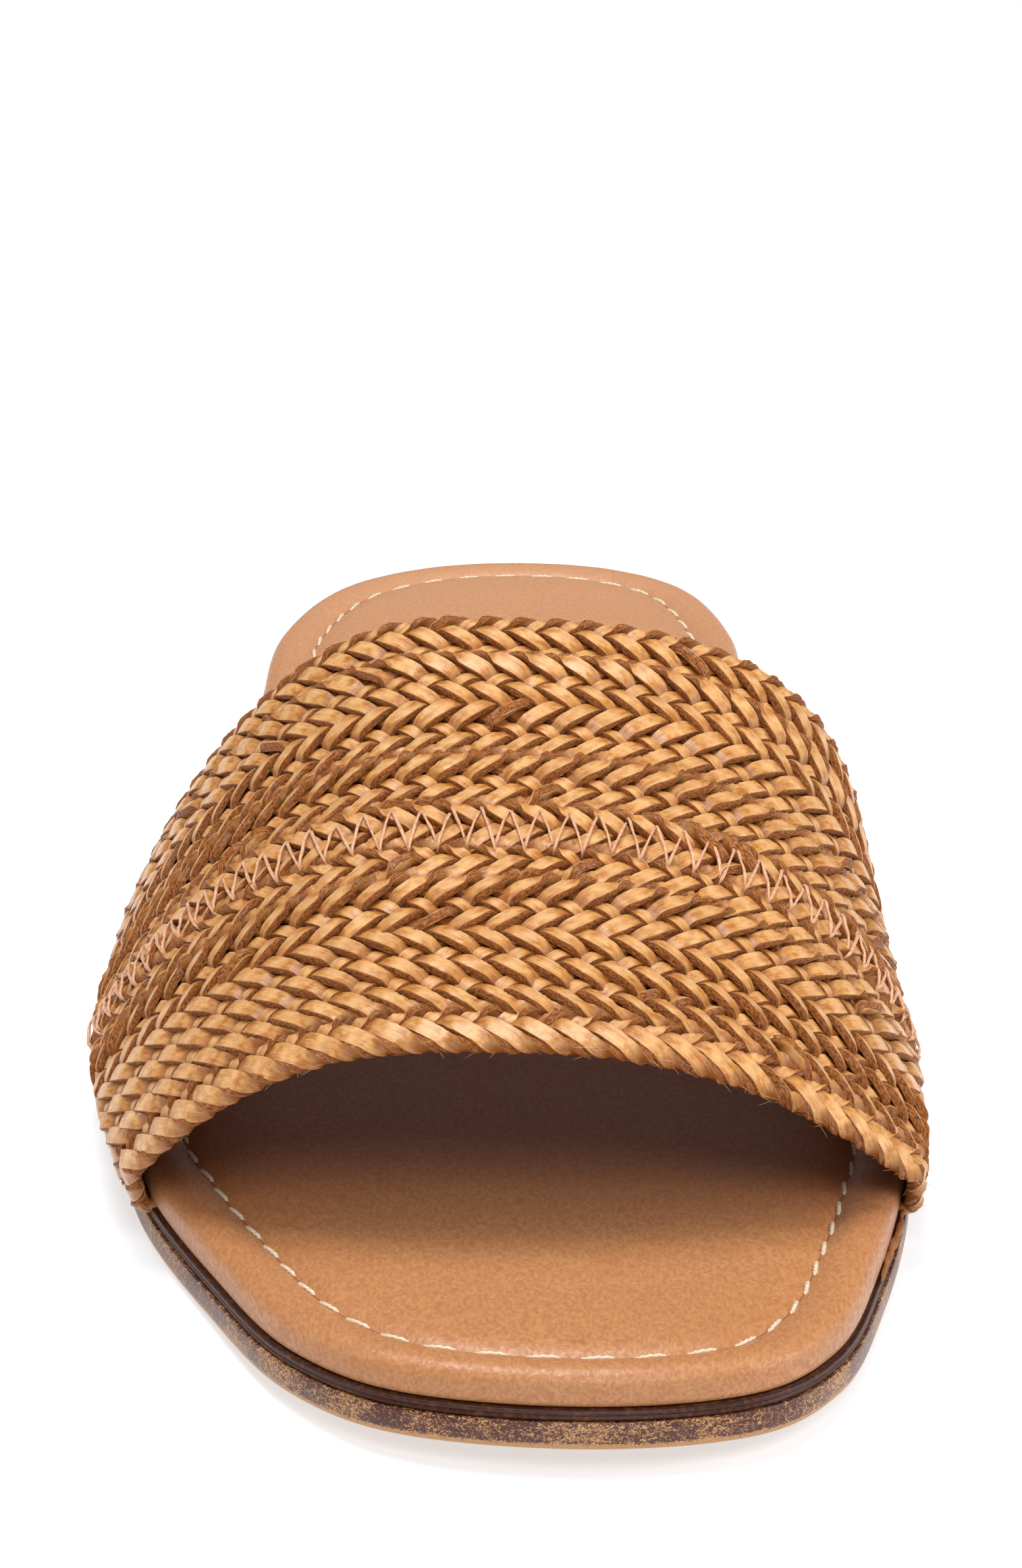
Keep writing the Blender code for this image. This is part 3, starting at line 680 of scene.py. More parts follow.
def plait(name, rows, rows_before):
    """All strands of one plait."""
    cycle = strand_cycle(rows)
    count = cycle["count"]
    strands = count + 1
    middle = across_of(rows_before + count / 2)
    run = np.interp(middle, GRID_ACROSS, ARCH_RUNS)
    pitches = round(run / PITCH)
    trips = pitches // strands + 3
    sections, coordinates, colours = [], [], []
    runs = 2 * count
    for strand in range(strands):
        along = np.concatenate([cycle["along"] + (trip - 2) * strands for trip in range(trips)])
        trip_of = np.repeat(np.arange(trips), len(cycle["z"]))
        tiled = {key: np.tile(cycle[key], trips) for key in
                 ("across", "z", "narrow", "tilt", "fray", "run", "leaf", "over")}
        flip = np.tile(cycle["flip"], trips) + trip_of * cycle["flips"]
        share = (along + strand + rng.uniform(-0.03, 0.03)) / pitches
        leaf_id = (trip_of * runs + tiled["run"] % runs).astype(int)
        dice = rng.random((trips * runs + 1, 5))[leaf_id]
        whole = rng.random(4)
        twisted = (dice[:, 0] < TWISTED_LEAVES) & tiled["over"]
        tilt = tiled["tilt"] + between(LEAF_ROLLS, dice[:, 1])
        tilt += np.where(twisted, between(TWIST_ROLLS, dice[:, 2]), 0)
        fray = tiled["fray"] * between(LEAF_FRAYS, dice[:, 3]) + np.where(twisted, TWIST_FRAY, 0)
        fray = np.clip(fray, 0, 1)
        width = TAPE_WIDTH * between(LEAF_WIDTHS, dice[:, 2]) * between(STRAND_SIZES, whole[0])
        width *= tiled["narrow"]
        thick = TAPE_THICKNESS * between(LEAF_THICKNESSES, dice[:, 4])
        thick *= between(STRAND_SIZES, whole[1]) * (1 + FRAY_SWELL * fray)
        flank = np.clip(share / FLANK_END, 0, 1)
        tilt *= between((FLANK_ROLL, 1), flank)
        fray *= between((FLANK_FRAY, 1), flank)
        tilt, fray, width, thick = (smooth_along(v, 3) for v in (tilt, fray, width, thick))
        keep = (share >= 0) & (share <= 1)
        share, flip, tilt, fray, width, thick = (v[keep] for v in
                                                 (share, flip, tilt, fray, width, thick))
        across = across_of(tiled["across"][keep] + 0.5 + rows_before)
        tucked = np.clip(np.minimum(share, 1 - share) * run / (TUCK_RUN + 2 * TUCK_RADIUS), 0, 1)
        flat = between((TUCKED_SIZE, 1), tucked * tucked * (3 - 2 * tucked))
        point = on_strap(share, across)
        normal = on_strap(share, across, GRID_NORMAL)
        back = on_strap(share, across, grid_back)
        back /= np.linalg.norm(back, axis=1)[:, None]
        lift = smooth_along(tiled["z"][keep] + (dice[keep, 1] - 0.5) * LIFT_SPREAD) * flat
        centre = smooth_along(point + normal * (lift - MID_DEPTH)[:, None])
        forward = np.gradient(centre, axis=0)
        forward /= np.linalg.norm(forward, axis=1)[:, None]
        angle = np.radians(180 * flip + tilt)[:, None]
        face = np.cos(angle) * normal + np.sin(angle) * back
        face -= forward * np.sum(face * forward, axis=1)[:, None]
        face /= np.linalg.norm(face, axis=1)[:, None]
        aside = np.cross(forward, face)
        ragged = rng.random((len(share), len(TAPE_SECTION))) - 0.5
        ragged = 1 + ragged * RAGGEDNESS * fray[:, None]
        wide = (TAPE_SECTION[:, 0] * width[:, None] * ragged)[..., None]
        deep = (TAPE_SECTION[:, 1] * (thick * flat)[:, None] * ragged)[..., None]
        rings = centre[:, None] + aside[:, None] * wide + face[:, None] * deep
        # A strand never sinks into the lining
        depth = np.sum((point[:, None] - rings) * normal[:, None], axis=2)
        rings += np.maximum(depth - STRAND_FLOOR, 0.0)[..., None] * normal[:, None]
        # The attribute finish: tone, share of cut edge, fray, and nearness to a leaf's middle; the
        # material uses the last for a painted highlight at a leaf's middle and painted shade where the
        # tape dips under
        colour = np.empty((*rings.shape[:2], 4))
        leaf_tone = smooth_along(dice[keep, 3], 3)
        colour[..., 0] = (STRAND_TONE * whole[2] + (1 - STRAND_TONE) * leaf_tone)[:, None]
        colour[..., 1] = TAPE_SECTION[:, 2]
        colour[..., 2] = fray[:, None]
        colour[..., 3] = smooth_along(tiled["leaf"][keep] * tiled["over"][keep], 2)[:, None]
        sections.append(rings)
        coordinates.append((run_of(centre) / MM + STREAK_SHIFT * whole[3], SECTION_RUN))
        colours.append(colour)
    return tube_mesh(name, sections, coordinates, colours, CUT_EDGE_ANGLE)


plaits = []
rows_before = 0
for name, rows in CHART:
    plaits.append(plait(name, rows, rows_before))
    rows_before += sum(row[1] for row in rows)

# %% [markdown]
# ## Lining
# Behind the plaits lies a thin leather lining that keeps the strands off the foot. It is a plain
# sheet, so a grid is laid on the strap's surface a little inside the strands, and Solidify gives it
# its thickness. It stops short of the front rim, so that only the strands' own jagged edge shows.

# %% Strap lining
LINING_DEPTH = 1.95 * MM
LINING_THICKNESS = 0.45 * MM
LINING_COLUMNS = 150
LINING_LINES = 50
LINING_ENDS = (0.052, 0.948)
LINING_RIMS = (0.018, 0.996)

bm = bmesh.new()
bmesh.ops.create_grid(bm, x_segments=LINING_COLUMNS, y_segments=LINING_LINES, size=0.5)
flat = np.array([vert.co[:2] for vert in bm.verts]) + 0.5
share = between(LINING_ENDS, flat[:, 0])
across = between(LINING_RIMS, flat[:, 1])
inside = on_strap(share, across) - on_strap(share, across, GRID_NORMAL) * LINING_DEPTH
for vert, co in zip(bm.verts, inside):
    vert.co = co
bmesh.ops.solidify(bm, geom=bm.verts[:] + bm.edges[:] + bm.faces[:], thickness=LINING_THICKNESS)
bmesh.ops.recalc_face_normals(bm, faces=bm.faces)
lining = piece_from(bm, "strap_lining", 50.0)
print("lining", len(lining.data.polygons), "faces")

# %% [markdown]
# ## Threads
# Two threads show. A cream, waxed two-ply thread holds the insole cover down in its channel, and a
# finer pink-tan one crosses the middle plait in a zigzag. A thread could be a plain tube with a
# bump map, but two plies that turn round each other catch the light as twisted thread does, and
# some 150 faces a stitch are enough.

# %% Twisted thread along a line
UP = (0.0, 0.0, 1.0)


def thread_rings(line, up, radius, turns_per_mm, sides=10, taper=1):
    """Rings of a two-ply thread along a line of points; taper narrows this many end rings."""
    forward = np.gradient(line, axis=0)
    forward /= np.linalg.norm(forward, axis=1)[:, None]
    up = up - forward * np.sum(up * forward, axis=1)[:, None]
    up /= np.linalg.norm(up, axis=1)[:, None]
    aside = np.cross(forward, up)
    theta = np.arange(sides) * 2 * math.pi / sides
    twist = run_of(line) / MM * turns_per_mm * 2 * math.pi
    lobe = 1 + 0.26 * np.cos(2 * (theta[None, :] - twist[:, None]))
    size = np.full(len(line), radius)
    for k in range(taper):
        size[k] = size[-1 - k] = radius * (0.35 + 0.65 * k / max(taper, 1))
    spread = (lobe * size[:, None])[..., None]
    return line[:, None] + spread * (np.cos(theta)[None, :, None] * aside[:, None]
                                     + np.sin(theta)[None, :, None] * up[:, None])


def thread_piece(name, lines, ups, radius, turns_per_mm, sides=10, taper=1):
    """One mesh of many stitches."""
    sections, coordinates, colours = [], [], []
    for line, up in zip(lines, ups):
        rings = thread_rings(line, up, radius, turns_per_mm, sides, taper)
        tone = np.full((*rings.shape[:2], 4), rng.random())
        sections.append(rings)
        coordinates.append((run_of(line) / MM, np.linspace(0, 2 * math.pi * radius / MM, sides + 1)))
        colours.append(tone)
    return tube_mesh(name, sections, coordinates, colours)


# %% [markdown]
# The insole's stitches are about 4 mm long with gaps of 1.4 mm. They lie in the channel a little
# slanted and sink at both ends, and a thin dark line, painted shade in the crease, runs on between
# them. An array along a curve could repeat one stitch, but a loop gives each its own small jitter.

# %% Stitches of the insole
STITCH_LENGTH = 0.74
STITCH_SLANT = 0.25 * MM
STITCH_JITTER = 0.02
STITCH_POINTS = 15
STITCH_ARCH = 0.36 * MM
STITCH_SUNK = 0.20 * MM
STITCH_RADIUS = 0.24 * MM
channel_floor = ring((insole_inset + CHANNEL_INSET) * MM,
                     (INSOLE_BOTTOM + CHANNEL_SHARE * (INSOLE_TOP - INSOLE_BOTTOM)) * MM)
channel_floor = np.concatenate([channel_floor, channel_floor[:1]])
stitch_lines, stitch_ups = [], []
for number in range(STITCHES):
    jitter = rng.uniform(-STITCH_JITTER, STITCH_JITTER, 2)
    first = number - STITCH_LENGTH / 2 + jitter[0]
    last = number + STITCH_LENGTH / 2 + jitter[1]
    span = np.linspace(first, last, STITCH_POINTS) % STITCHES
    places = span / STITCHES * channel_run[-1]
    line = np.stack([np.interp(places, channel_run, channel_floor[:, k]) for k in range(3)], axis=1)
    way = line[-1] - line[0]
    aside = np.array([-way[1], way[0], 0.0]) / np.linalg.norm(way[:2])
    line += aside * np.linspace(-STITCH_SLANT, STITCH_SLANT, STITCH_POINTS)[:, None]
    arch = np.sin(np.linspace(0, math.pi, STITCH_POINTS)) ** 0.5
    line[:, 2] += arch * STITCH_ARCH - STITCH_SUNK
    stitch_lines.append(line)
    stitch_ups.append(np.tile(UP, (STITCH_POINTS, 1)))
stitches = thread_piece("insole_stitches", stitch_lines, stitch_ups, STITCH_RADIUS, 0.62, 10, 2)

# The leather sinks into a crease between the needle holes; a thin dark tube along it is painted shade
CREASE_RADIUS = 0.11 * MM
CREASE_DEPTH = 0.02 * MM
crease_line = channel_floor[::2] - np.array(UP) * CREASE_DEPTH
crease_line = np.concatenate([crease_line, channel_floor[:2]])
crease_ups = np.tile(UP, (len(crease_line), 1))
crease = thread_piece("stitch_crease_shade", [crease_line], [crease_ups], CREASE_RADIUS, 0.0, 6, 1)

# %% [markdown]
# The zigzag is sewn by machine over the middle plait. Each leg dips into the raffia at both ends
# and bows in between. A texture could draw it, but only a real thread bridges the gaps between the
# leaves. Its ends are given in rows of crossings, so it stays on its plait all round the arch.

# %% Zigzag stitch over the middle plait
ZIGZAG_ROWS = (18.6, 22.3)
ZIGZAG_PERIOD = 3.3 * MM
ZIGZAG_RADIUS = 0.17 * MM
LEG_POINTS = 14
ZIGZAG_SHARES = (0.035, 0.965)
ZIGZAG_SWAY = 0.35
zigzag_run = np.interp(0.5, GRID_ACROSS, ARCH_RUNS)
legs = 2 * round(zigzag_run * (ZIGZAG_SHARES[1] - ZIGZAG_SHARES[0]) / ZIGZAG_PERIOD)
zigzag_lines, zigzag_ups = [], []
for leg in range(legs):
    t = np.linspace(0, 1, LEG_POINTS)
    share = between(ZIGZAG_SHARES, (leg + t) / legs)
    sway = rng.uniform(-ZIGZAG_SWAY, ZIGZAG_SWAY, 2)
    rows = (ZIGZAG_ROWS[leg % 2] + sway[0]) * (1 - t) + (ZIGZAG_ROWS[1 - leg % 2] + sway[1]) * t
    across = across_of(rows)
    normal = on_strap(share, across, GRID_NORMAL)
    height = 0.10 * MM + 0.28 * MM * np.sin(math.pi * t) + 0.07 * MM * np.sin(4 * math.pi * t)
    height = height - 0.9 * MM * (np.abs(2 * t - 1) ** 14)
    zigzag_lines.append(on_strap(share, across) + normal * height[:, None])
    zigzag_ups.append(normal)
zigzag = thread_piece("zigzag_stitch", zigzag_lines, zigzag_ups, ZIGZAG_RADIUS, 0.9, 8, 1)

# %% [markdown]
# ## Loose fibres
# Cut raffia sheds fine hairs, most along the two rims. Hair particles would leave nothing behind in
# an exported mesh, so each fibre is a short, very thin tube with three sides.

# %% Fibres along the rims
FIBRE_RADIUS = 0.025 * MM
FIBRE_POINTS = 6
# Place across the strap, way out of it and number of fibres, for the front and the rear rim
FIBRE_RIMS = ((0.004, -1, 210), (0.996, 1, 170))
fibre_lines, fibre_ups = [], []
for edge_across, way, amount in FIBRE_RIMS:
    for _ in range(amount):
        start = rng.uniform(0.05, 0.95)
        length = rng.uniform(0.6, 2.4) * MM
        lean, lift, curl = rng.normal(0, 0.7), rng.uniform(-0.5, 0.6), rng.normal(0, 0.6)
        t = np.linspace(0, 1, FIBRE_POINTS)
        where = np.full(FIBRE_POINTS, start)
        rim = np.full(FIBRE_POINTS, edge_across)
        base = on_strap(where, rim)
        normal = on_strap(where, rim, GRID_NORMAL)
        along = on_strap(where, rim, grid_along)
        along /= np.linalg.norm(along, axis=1)[:, None]
        out = on_strap(where, rim, grid_back) * way
        out /= np.linalg.norm(out, axis=1)[:, None]
        reach = (t * length)[:, None]
        bend = (t * t * length)[:, None]
        depth = rng.uniform(0.3, 1.7) * MM
        line = (base - normal * depth + out * reach * 0.55 + along * (lean * reach + curl * bend)
                + normal * lift * bend)
        fibre_lines.append(line)
        fibre_ups.append(normal)
fibres = thread_piece("rim_fibres", fibre_lines, fibre_ups, FIBRE_RADIUS, 0.0, 3, 1)

# %% [markdown]
# One strand of the front rim was cut late: its fibrous tail lies on the welt beside the insole, on
# the medial side, just in front of the strap.

# %% Tail of a strand on the welt
TAIL_DEPTHS = (53.0 * MM, 34.0 * MM)
TAIL_RADIUS = 0.42 * MM
TAIL_INSET = 0.40 * MM
TAIL_HEIGHT = 4.80 * MM
TAIL_SWAY = 0.16 * MM
TAIL_POINTS = 26
tail_depth = np.linspace(*TAIL_DEPTHS, TAIL_POINTS)
wander = TAIL_SWAY * np.sin(np.linspace(0, 7.0, TAIL_POINTS)) + rng.normal(0, 0.03, TAIL_POINTS) * MM
tail_side = edge_side(tail_depth, 1) - TAIL_INSET + wander
tail_line = place(np.column_stack([tail_side, tail_depth, underside(tail_depth) + TAIL_HEIGHT]))
tail_ups = np.tile(UP, (TAIL_POINTS, 1))
tail_rings = thread_rings(tail_line, tail_ups, TAIL_RADIUS, 0.12, 12, 9)
# Finish of the tail: tone, half cut edge, much fray, and a leaf value that adds a faint painted
# highlight; its cut-edge colour is partly painted shade
tail_tone = np.tile((0.6, 0.5, 0.8, 0.6), (*tail_rings.shape[:2], 1))
tail = tube_mesh("strand_tail", [tail_rings], [(run_of(tail_line) / MM, np.linspace(0, 2.4, 13))],
                 [tail_tone])

# %% [markdown]
# ## Materials
# Each finish is built from nodes. One function turns a sRGB hex colour to linear light, and one
# adds a node with its settings and links. Patterns are sized in real units: an Object coordinate is
# in metres, so a noise of scale 1 / size has blotches of that size.

# %% Colour and node helpers
def hex_colour(text):
    """A sRGB hex colour as linear RGBA."""
    parts = [int(text[i:i + 2], 16) / 255 for i in (1, 3, 5)]
    return (*[p / 12.92 if p <= 0.04045 else ((p + 0.055) / 1.055) ** 2.4 for p in parts], 1.0)


def add(tree, kind, inputs=None, **settings):
    """Adds a node. inputs holds values or other nodes' outputs, by the name or number of the
    socket; settings are the node's own properties."""
    node = tree.nodes.new("ShaderNode" + kind)
    for name, value in settings.items():
        setattr(node, name, value)
    for key, value in (inputs or {}).items():
        if isinstance(value, bpy.types.NodeSocket):
            tree.links.new(value, node.inputs[key])
        else:
            node.inputs[key].default_value = value
    return node


def new_material(name, **shader_values):
    """A material with its Principled BSDF; plain numbers are set on the shader's sockets."""
    material = bpy.data.materials.new(name)
    material.use_nodes = True
    shader = material.node_tree.nodes["Principled BSDF"]
    for key, value in shader_values.items():
        shader.inputs[key.replace("_", " ")].default_value = value
    return material, material.node_tree, shader


def blend(tree, factor, first, second, mode="MIX"):
    """Colour output of a mix of two colours."""
    node = add(tree, "Mix", {0: factor, 6: first, 7: second}, data_type="RGBA", blend_type=mode)
    return node.outputs[2]


def remap(tree, value, low, high, to_low=0.0, to_high=1.0):
    """A value stretched from one range to another and clamped to it."""
    return add(tree, "MapRange", {0: value, 1: low, 2: high, 3: to_low, 4: to_high}).outputs[0]


# %% [markdown]
# Waxed raffia tape is palm fibre, dyed and waxed to a satin shine. The eye reads long pale streaks
# along the tape, warmer stains where the wax gathers, and dry brown fibre with dark pores at the
# cut edges. Light and shade are partly painted in: the pale streaks are partly a painted waxy
# highlight, each leaf is painted paler at its raised middle (painted highlight) and darker where it
# dips under its neighbours (painted shade), and the cut edges are drawn darker, partly as painted
# shade. The streaks follow the tape's own UV map, which runs in millimetres.

# %% Waxed raffia
def waxed_raffia():
    material, tree, shader = new_material("waxed_raffia", Specular_IOR_Level=0.4,
                                          Coat_Weight=0.16, Coat_Roughness=0.16)
    uv = add(tree, "UVMap", uv_map="UVMap").outputs[0]
    finish = add(tree, "Attribute", attribute_name="finish")
    parts = add(tree, "SeparateColor", {0: finish.outputs["Color"]}).outputs
    tone, wall, fray, leaf = parts[0], parts[1], parts[2], finish.outputs["Alpha"]
    long_way = add(tree, "Mapping", {0: uv, 3: (0.30, 3.6, 1.0)}).outputs[0]
    streak = add(tree, "TexNoise", {"Vector": long_way, "Scale": 1.0, "Detail": 4.0,
                                    "Roughness": 0.62}).outputs[0]
    stain_way = add(tree, "Mapping", {0: uv, 3: (0.80, 1.05, 1.0)}).outputs[0]
    stain = add(tree, "TexNoise", {"Vector": stain_way, "Scale": 1.0, "Detail": 3.0,
                                   "Roughness": 0.55}).outputs[0]
    pore_way = add(tree, "Mapping", {0: uv, 3: (2.1, 5.2, 1.0)}).outputs[0]
    pores = add(tree, "TexNoise", {"Vector": pore_way, "Scale": 1.0, "Detail": 5.0,
                                   "Roughness": 0.7}).outputs[0]
    face = blend(tree, remap(tree, stain, 0.40, 0.62), hex_colour("#D19B5B"), hex_colour("#A5631F"))
    face = blend(tree, remap(tree, tone, 0.0, 1.0, 0.0, 0.45), face, hex_colour("#A06024"))
    # The pale streaks are partly the fibre's own streaks and partly a painted waxy highlight
    face = blend(tree, remap(tree, streak, 0.50, 0.75, 0.0, 0.35), face, hex_colour("#EBC385"))
    face = blend(tree, remap(tree, streak, 0.44, 0.28, 0.0, 0.25), face, hex_colour("#84481A"))
    # Painted highlight: each leaf is painted paler towards its raised middle
    face = blend(tree, remap(tree, leaf, 0.55, 1.0, 0.0, 0.45), face, hex_colour("#EBC18C"))
    # Painted shade: darker towards a leaf's ends and where the tape dips under its neighbours, with a
    # little gathered wax at the ends
    face = blend(tree, remap(tree, leaf, 0.50, 0.0, 0.0, 0.85), face, hex_colour("#7C3F10"))
    # Cut edges: the fibre's own brown with dark pores, drawn darker partly as painted shade under the
    # leaves' edges
    cut_fibre_and_shade = blend(tree, remap(tree, pores, 0.40, 0.62), hex_colour("#57290C"), hex_colour("#B36D2C"))
    bare = add(tree, "Math", {0: wall, 1: fray}, operation="MULTIPLY").outputs[0]
    spread = add(tree, "Math", {0: bare, 1: 0.42}, operation="MULTIPLY").outputs[0]
    edge = add(tree, "Math", {0: wall, 1: spread}, operation="ADD").outputs[0]
    rough_edge = add(tree, "Math", {0: edge, 1: remap(tree, pores, 0.3, 0.7, -0.16, 0.16)},
                     operation="ADD").outputs[0]
    mask = remap(tree, rough_edge, 0.34, 0.72)
    colour = blend(tree, mask, face, cut_fibre_and_shade)
    tree.links.new(colour, shader.inputs["Base Color"])
    tree.links.new(remap(tree, mask, 0.0, 1.0, 0.40, 0.90), shader.inputs["Roughness"])
    relief = add(tree, "Mix", {0: mask, 2: remap(tree, streak, 0.3, 0.7, 0.0, 0.25), 3: pores},
                 data_type="FLOAT").outputs[0]
    bump = add(tree, "Bump", {"Strength": 0.75, "Distance": 0.22 * MM, "Height": relief})
    tree.links.new(bump.outputs[0], shader.inputs["Normal"])
    return material


raffia = waxed_raffia()

# %% [markdown]
# The insole is smooth sheepskin-like lining leather, tan dyed and lightly finished: a soft sheen,
# fine wavy grain and faint clouding. The real grain is about 0.3 mm wide. It is drawn at 0.41 mm,
# a little coarser, so that it still shows from the toe. The grain is a stretched noise, warped so
# that its lines wander, and it needs the piece's Object coordinates only. Towards the heel the
# leather is drawn paler, and under the strap a darker, redder brown is painted in as painted shade.

# %% Leathers
# Depths, from the middle of the shoe, between which the insole turns paler towards the heel,
# and between which painted shade darkens it under the strap
HEEL_FADE = (10 * MM, 110 * MM)
COVERED_FROM = (-90 * MM, -68 * MM)
COVERED_TO = (-12 * MM, -34 * MM)


def grain_leather(name, pale, deep, grain=0.55 * MM, roughness=0.5, bump=0.10 * MM, paler_to_heel=0.0,
                  painted_strap_shade=0.0):
    """Of the last two arguments, the first makes the leather paler towards the heel, and the second
    paints a darker, redder brown under the strap, as painted shade."""
    material, tree, shader = new_material(name, Specular_IOR_Level=0.45)
    where = add(tree, "TexCoord").outputs["Object"]
    warp = add(tree, "TexNoise", {"Vector": where, "Scale": 1 / (4 * MM), "Detail": 2.0}).outputs[1]
    pull = add(tree, "VectorMath", {0: warp, "Scale": 2.6 * MM}, operation="SCALE").outputs[0]
    wandered = add(tree, "VectorMath", {0: where, 1: pull}, operation="ADD").outputs[0]
    slant = add(tree, "Mapping", {0: wandered, 2: (0.0, 0.0, 0.6), 3: (1.0, 0.42, 1.0)}).outputs[0]
    lines = add(tree, "TexNoise", {"Vector": slant, "Scale": 1 / grain, "Detail": 3.0,
                                   "Roughness": 0.55}).outputs[0]
    pebble = add(tree, "TexVoronoi", {"Vector": wandered, "Scale": 1 / (grain * 0.9)},
                 feature="SMOOTH_F1").outputs[0]
    cloud = add(tree, "TexNoise", {"Vector": where, "Scale": 1 / (14 * MM), "Detail": 3.0}).outputs[0]
    base = blend(tree, remap(tree, lines, 0.36, 0.66), hex_colour(deep), hex_colour(pale))
    base = blend(tree, remap(tree, cloud, 0.35, 0.7, 0.0, 0.22), base, hex_colour(deep))
    depth = add(tree, "SeparateXYZ", {0: where}).outputs[1]
    # The leather is drawn paler towards the heel
    base = blend(tree, remap(tree, depth, *HEEL_FADE, 0.0, paler_to_heel), base, hex_colour("#C39778"))
    # Painted shade: a darker, redder brown under the strap, fading in just ahead of it and out under
    # its rear part
    from_toe = remap(tree, depth, *COVERED_FROM, 0.0, painted_strap_shade)
    strap_shade_mask = add(tree, "Math", {0: from_toe, 1: remap(tree, depth, *COVERED_TO)},
                  operation="MULTIPLY").outputs[0]
    base = blend(tree, strap_shade_mask, base, hex_colour("#93543F"))
    tree.links.new(base, shader.inputs["Base Color"])
    tree.links.new(remap(tree, lines, 0.3, 0.7, roughness + 0.08, roughness - 0.06),
                   shader.inputs["Roughness"])
    relief = add(tree, "Math", {0: lines, 1: pebble}, operation="MULTIPLY_ADD").outputs[0]
    node = add(tree, "Bump", {"Strength": 0.6, "Distance": bump, "Height": relief})
    tree.links.new(node.outputs[0], shader.inputs["Normal"])
    return material


# The last two numbers: how much paler the heel is drawn, and how strong the painted shade under the
# strap is
insole_leather = grain_leather("tan_insole_leather", "#BA8455", "#A36A41", 0.41 * MM, 0.42, 0.13 * MM,
                               0.45, 0.5)
lining_leather = grain_leather("brown_lining_leather", "#84402A", "#6B301C", 0.8 * MM, 0.65)

# %% [markdown]
# The welt is leather board, inked dark brown and rubbed with wax, so its beads catch thin soft
# lines of light. The outsole's edge is burnished unevenly: dark ink over tan, rubbed back to small tan
# flecks, and left tan at the bevel. The height above the underside is stored with each vertex,
# which lets the bands follow the toe spring and the arch.

# %% Welt and burnished edge
def polished_welt():
    material, tree, shader = new_material("polished_welt_board", Specular_IOR_Level=0.28,
                                          Coat_Weight=0.04, Coat_Roughness=0.16)
    where = add(tree, "TexCoord").outputs["Object"]
    scuff = add(tree, "TexNoise", {"Vector": where, "Scale": 1 / (0.7 * MM), "Detail": 5.0,
                                   "Roughness": 0.65}).outputs[0]
    colour = blend(tree, remap(tree, scuff, 0.50, 0.72, 0.0, 0.8), hex_colour("#3A1B10"),
                   hex_colour("#6E4129"))
    tree.links.new(colour, shader.inputs["Base Color"])
    tree.links.new(remap(tree, scuff, 0.35, 0.7, 0.32, 0.56), shader.inputs["Roughness"])
    bump = add(tree, "Bump", {"Strength": 0.35, "Distance": 0.08 * MM, "Height": scuff})
    tree.links.new(bump.outputs[0], shader.inputs["Normal"])
    return material


def burnished_edge(name, bands):
    """bands: heights in mm between which the dark ink lies."""
    material, tree, shader = new_material(name, Specular_IOR_Level=0.30, Coat_Weight=0.35,
                                          Coat_Roughness=0.3)
    where = add(tree, "TexCoord").outputs["Object"]
    rise = add(tree, "Attribute", attribute_name="rise").outputs["Fac"]
    fleck_way = add(tree, "Mapping", {0: where, 3: (1.0, 1.0, 1.5)}).outputs[0]
    fleck = add(tree, "TexNoise", {"Vector": fleck_way, "Scale": 1 / (0.50 * MM), "Detail": 4.0,
                                   "Roughness": 0.66, "Distortion": 1.8}).outputs[0]
    wander = add(tree, "TexNoise", {"Vector": where, "Scale": 1 / (6 * MM), "Detail": 2.0}).outputs[0]
    low = remap(tree, rise, (bands[0] - 0.25) * MM, (bands[0] + 0.30) * MM)
    high = remap(tree, rise, (bands[1] + 0.15) * MM, (bands[1] - 0.25) * MM)
    band = add(tree, "Math", {0: low, 1: high}, operation="MULTIPLY").outputs[0]
    amount = add(tree, "Math", {0: band, 1: remap(tree, wander, 0.3, 0.7, 0.66, 1.0)},
                 operation="MULTIPLY").outputs[0]
    level = remap(tree, amount, 0.0, 1.0, 0.22, 0.60)
    over = add(tree, "Math", {0: level, 1: fleck}, operation="SUBTRACT").outputs[0]
    ink = remap(tree, over, -0.03, 0.03)
    tan = blend(tree, remap(tree, fleck, 0.3, 0.7), hex_colour("#A06E45"), hex_colour("#C0925F"))
    tree.links.new(blend(tree, ink, tan, hex_colour("#4A231C")), shader.inputs["Base Color"])
    tree.links.new(remap(tree, ink, 0.0, 1.0, 0.62, 0.42), shader.inputs["Roughness"])
    bump = add(tree, "Bump", {"Strength": 0.4, "Distance": 0.07 * MM, "Height": fleck})
    tree.links.new(bump.outputs[0], shader.inputs["Normal"])
    return material


welt_finish = polished_welt()
outsole_finish = burnished_edge("burnished_outsole_edge", (0.65, 3.60))
heel_finish = burnished_edge("burnished_heel_edge", (2.5, 9.0))

# %% [markdown]
# Thread is polyester, waxed on the insole. It gives a bright, soft sheen across the plies, so the
# twist in the mesh does most of the work, and the colour only varies a little along each stitch.

# %% Threads and fibres
def thread_finish(name, pale, deep, roughness):
    material, tree, shader = new_material(name, Sheen_Weight=0.25, Sheen_Roughness=0.35)
    uv = add(tree, "UVMap", uv_map="UVMap").outputs[0]
    hair_way = add(tree, "Mapping", {0: uv, 3: (1.6, 9.0, 1.0)}).outputs[0]
    hairs = add(tree, "TexNoise", {"Vector": hair_way, "Scale": 1.0, "Detail": 3.0}).outputs[0]
    tree.links.new(blend(tree, remap(tree, hairs, 0.35, 0.65), hex_colour(deep), hex_colour(pale)),
                   shader.inputs["Base Color"])
    shader.inputs["Roughness"].default_value = roughness
    bump = add(tree, "Bump", {"Strength": 0.5, "Distance": 0.05 * MM, "Height": hairs})
    tree.links.new(bump.outputs[0], shader.inputs["Normal"])
    return material


